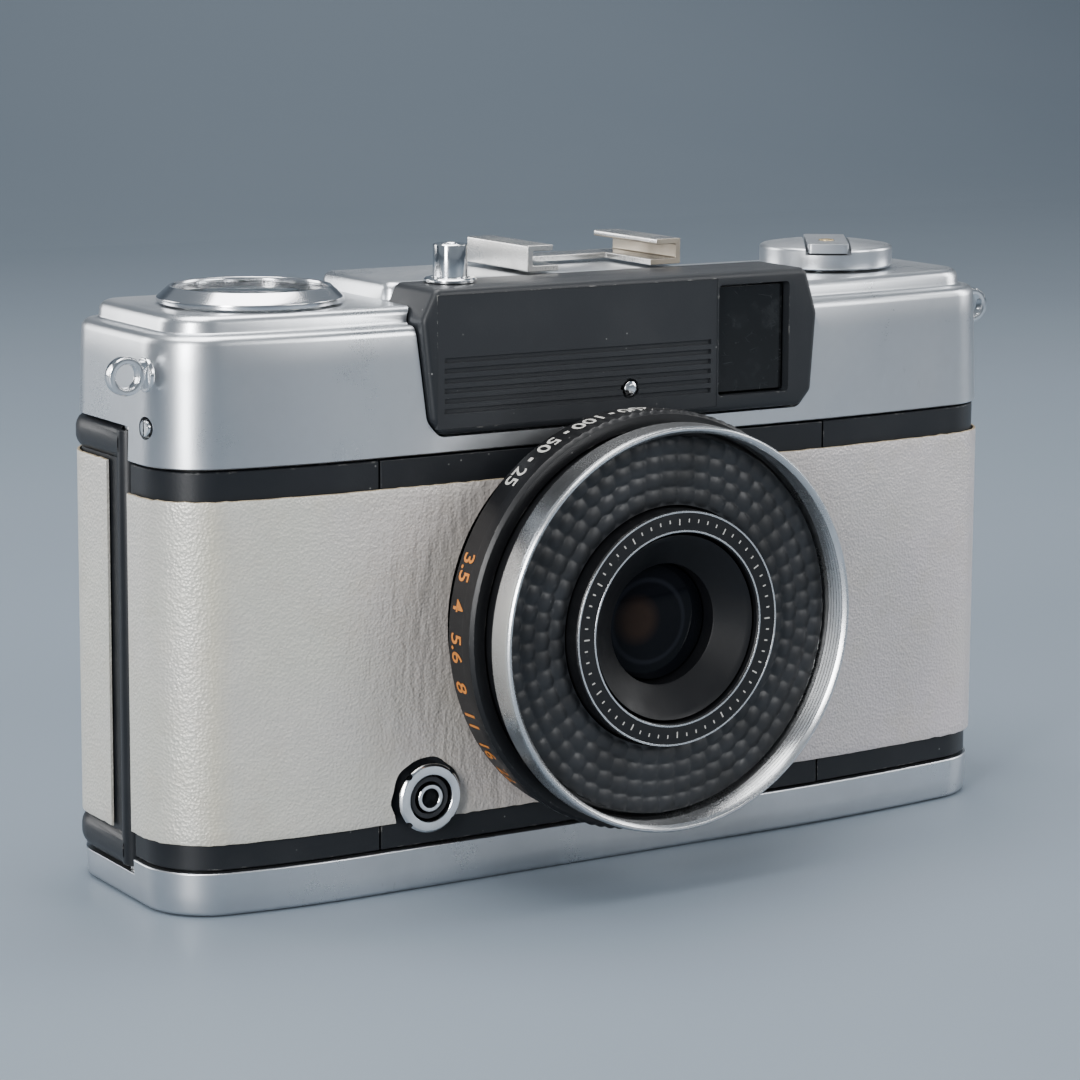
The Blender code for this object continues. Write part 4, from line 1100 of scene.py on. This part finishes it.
def make_rings():
    fixed(lens_ring("mount_ring", hoop(17.5, 21.0, 0.3, 1.9), LENS_PAINT), "black_paint", "lens_mount")
    make_setting_ring()
    barrel = [(13.2, -9.0), (14.0, -9.0), (14.0, 2.2), (21.9, 2.2), (21.9, 11.4), (13.6, 11.4), (13.2, 11.0)]
    fixed(lens_ring("barrel_tube", barrel, LENS_PAINT), "black_paint", "lens_barrel")

    rim = [(21.75, 11.7), (22.4, 11.7), (22.93, 12.45), (23.0, 12.7), (23.0, 15.4), (22.93, 15.8)]
    rim += [(22.75, 16.0), (22.5, 15.95)]
    threads, pitch = 6, 0.52
    for index in range(threads):
        place = 15.55 - index * pitch
        rim += [(22.12, place), (22.3, place - pitch / 2)]
    fixed(lens_ring("filter_rim", rim, RING_METAL, 0.05, 192), "satin_chrome", "filter_ring")
    make_cell()

    profile = [(11.0, 11.8), (13.4, 11.8), (13.4, 14.6), (13.2, 14.8), (11.1, 14.8), (10.85, 14.6)]
    fixed(lens_ring("front_ring", profile, LENS_PAINT, 0.06), "black_paint", "name_ring")
    for name, radius in (("inner", 11.06), ("outer", 13.22)):
        profile = hoop(radius - 0.1, radius + 0.1, 14.76, 14.87)
        band = lens_ring(f"ring_line_{name}", profile, RING_METAL, 0.03)
        fixed(band, "satin_chrome")
    quads, ticks = [], 60
    for index in range(ticks):
        inner = 11.75 if index % 5 == 0 else 12.05
        bar = radial_bar((0, 0), tau * index / ticks, inner, 12.45, 0.15, 0)
        quads.append([(x, FRONT - 14.82, LENS_Z + z) for x, z, _ in bar])
    fixed(flat_marks("ring_ticks", quads, WHITE_PRINT), "dial_white")

    cone = [(6.9, 8.6), (12.8, 8.6), (12.8, 11.2), (10.5, 11.4), (10.5, 14.2)]
    steps = 5
    for step in range(1, steps + 1):
        radius, place = 10.5 - 3.6 * step / steps, 14.2 - 2.6 * step / steps
        cone += [(radius + 0.12, place + 0.1), (radius, place)]
    fixed(lens_ring("inner_cone", cone, CONE, 0.05), "black_paint", "lens_cone")
    curve = 30.0
    dome = [(r, 10.6 - r * r / (2 * curve)) for r in (0, 1.2, 2.4, 3.6, 4.8, 5.8, 6.6)]
    glass = lens_ring("front_element", [*dome, (6.6, 8.0), (0, 8.0)], COATED, 0, 96)
    fixed(glass, "optical_glass", "front_lens")


def make_flash_socket():
    """Flanged sleeve with key notches, an insulating cup and the centre contact."""
    flange = [(2.7, -12.5), (2.95, -12.5), (2.95, -15.55), (3.95, -15.55), (3.95, -16.1), (3.7, -16.35)]
    sleeve = turned("socket_sleeve", [*flange, (2.7, -16.35)], SOCKET, "Y", POLISHED, 0.1, 96)
    notches = []
    for around in (45, 135, 225, 315):
        angle = radians(around)
        spot = (SOCKET.x + 4.05 * cos(angle), SOCKET.y + 4.05 * sin(angle))
        notches.append(cylinder("notch", 0.45, -18, -15, spot, "Y", segments=24))
    carve(sleeve, notches)
    fixed(sleeve, "polished_chrome", "flash_socket_sleeve")
    cup = [(0, -13.1), (1.85, -13.1), (1.85, -15.9), (2.4, -15.9), (2.4, -12.5), (0, -12.5)]
    fixed(turned("socket_cup", cup, SOCKET, "Y", PLASTIC, 0.08, 64), "black_plastic", "flash_socket_cup")
    contact = turned("socket_contact", hoop(1.1, 1.55, -13.4, -16.2), SOCKET, "Y", POLISHED, 0.08, 64)
    fixed(contact, "brass", "flash_socket_contact")


def dress_cad_nodes():
    """Finishes and softened edges for the CAD nodes that stay as they are."""
    finishes = {
        PLASTIC: "take_up_spool film_sprocket finder_tube eyepiece_frame",
        STEEL: "hinge_pin pressure_spring meter_coil meter_needle rewind_sleeve rewind_fork",
        BLADE: "shutter_blade_upper shutter_blade_lower",
        ENAMEL: "shutter_housing pressure_plate",
        SATIN: "door_latch",
        WINDOW: "eyepiece_lens",
        COATED: "rear_lens",
    }
    for material, nodes in finishes.items():
        for node in nodes.split():
            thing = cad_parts[node]
            for place in thing.material_slots:
                place.material = material
            weld = thing.modifiers.new("weld", "WELD")
            weld.merge_threshold = 0.002 * MM
            bevel(thing, 0.07, 2)


FLOOR = plain("studio_floor", (0.142, 0.174, 0.21), 0.0, 0.55, 60, 0.0, 0.02)

make_stage()
make_chassis()
make_front_plate()
make_base()
make_cover()
make_screws()
make_lugs()
make_hood()
make_button()
make_counter()
make_advance()
make_rewind()
make_shoe()
make_door()
make_covering()
make_rings()
make_flash_socket()
dress_cad_nodes()
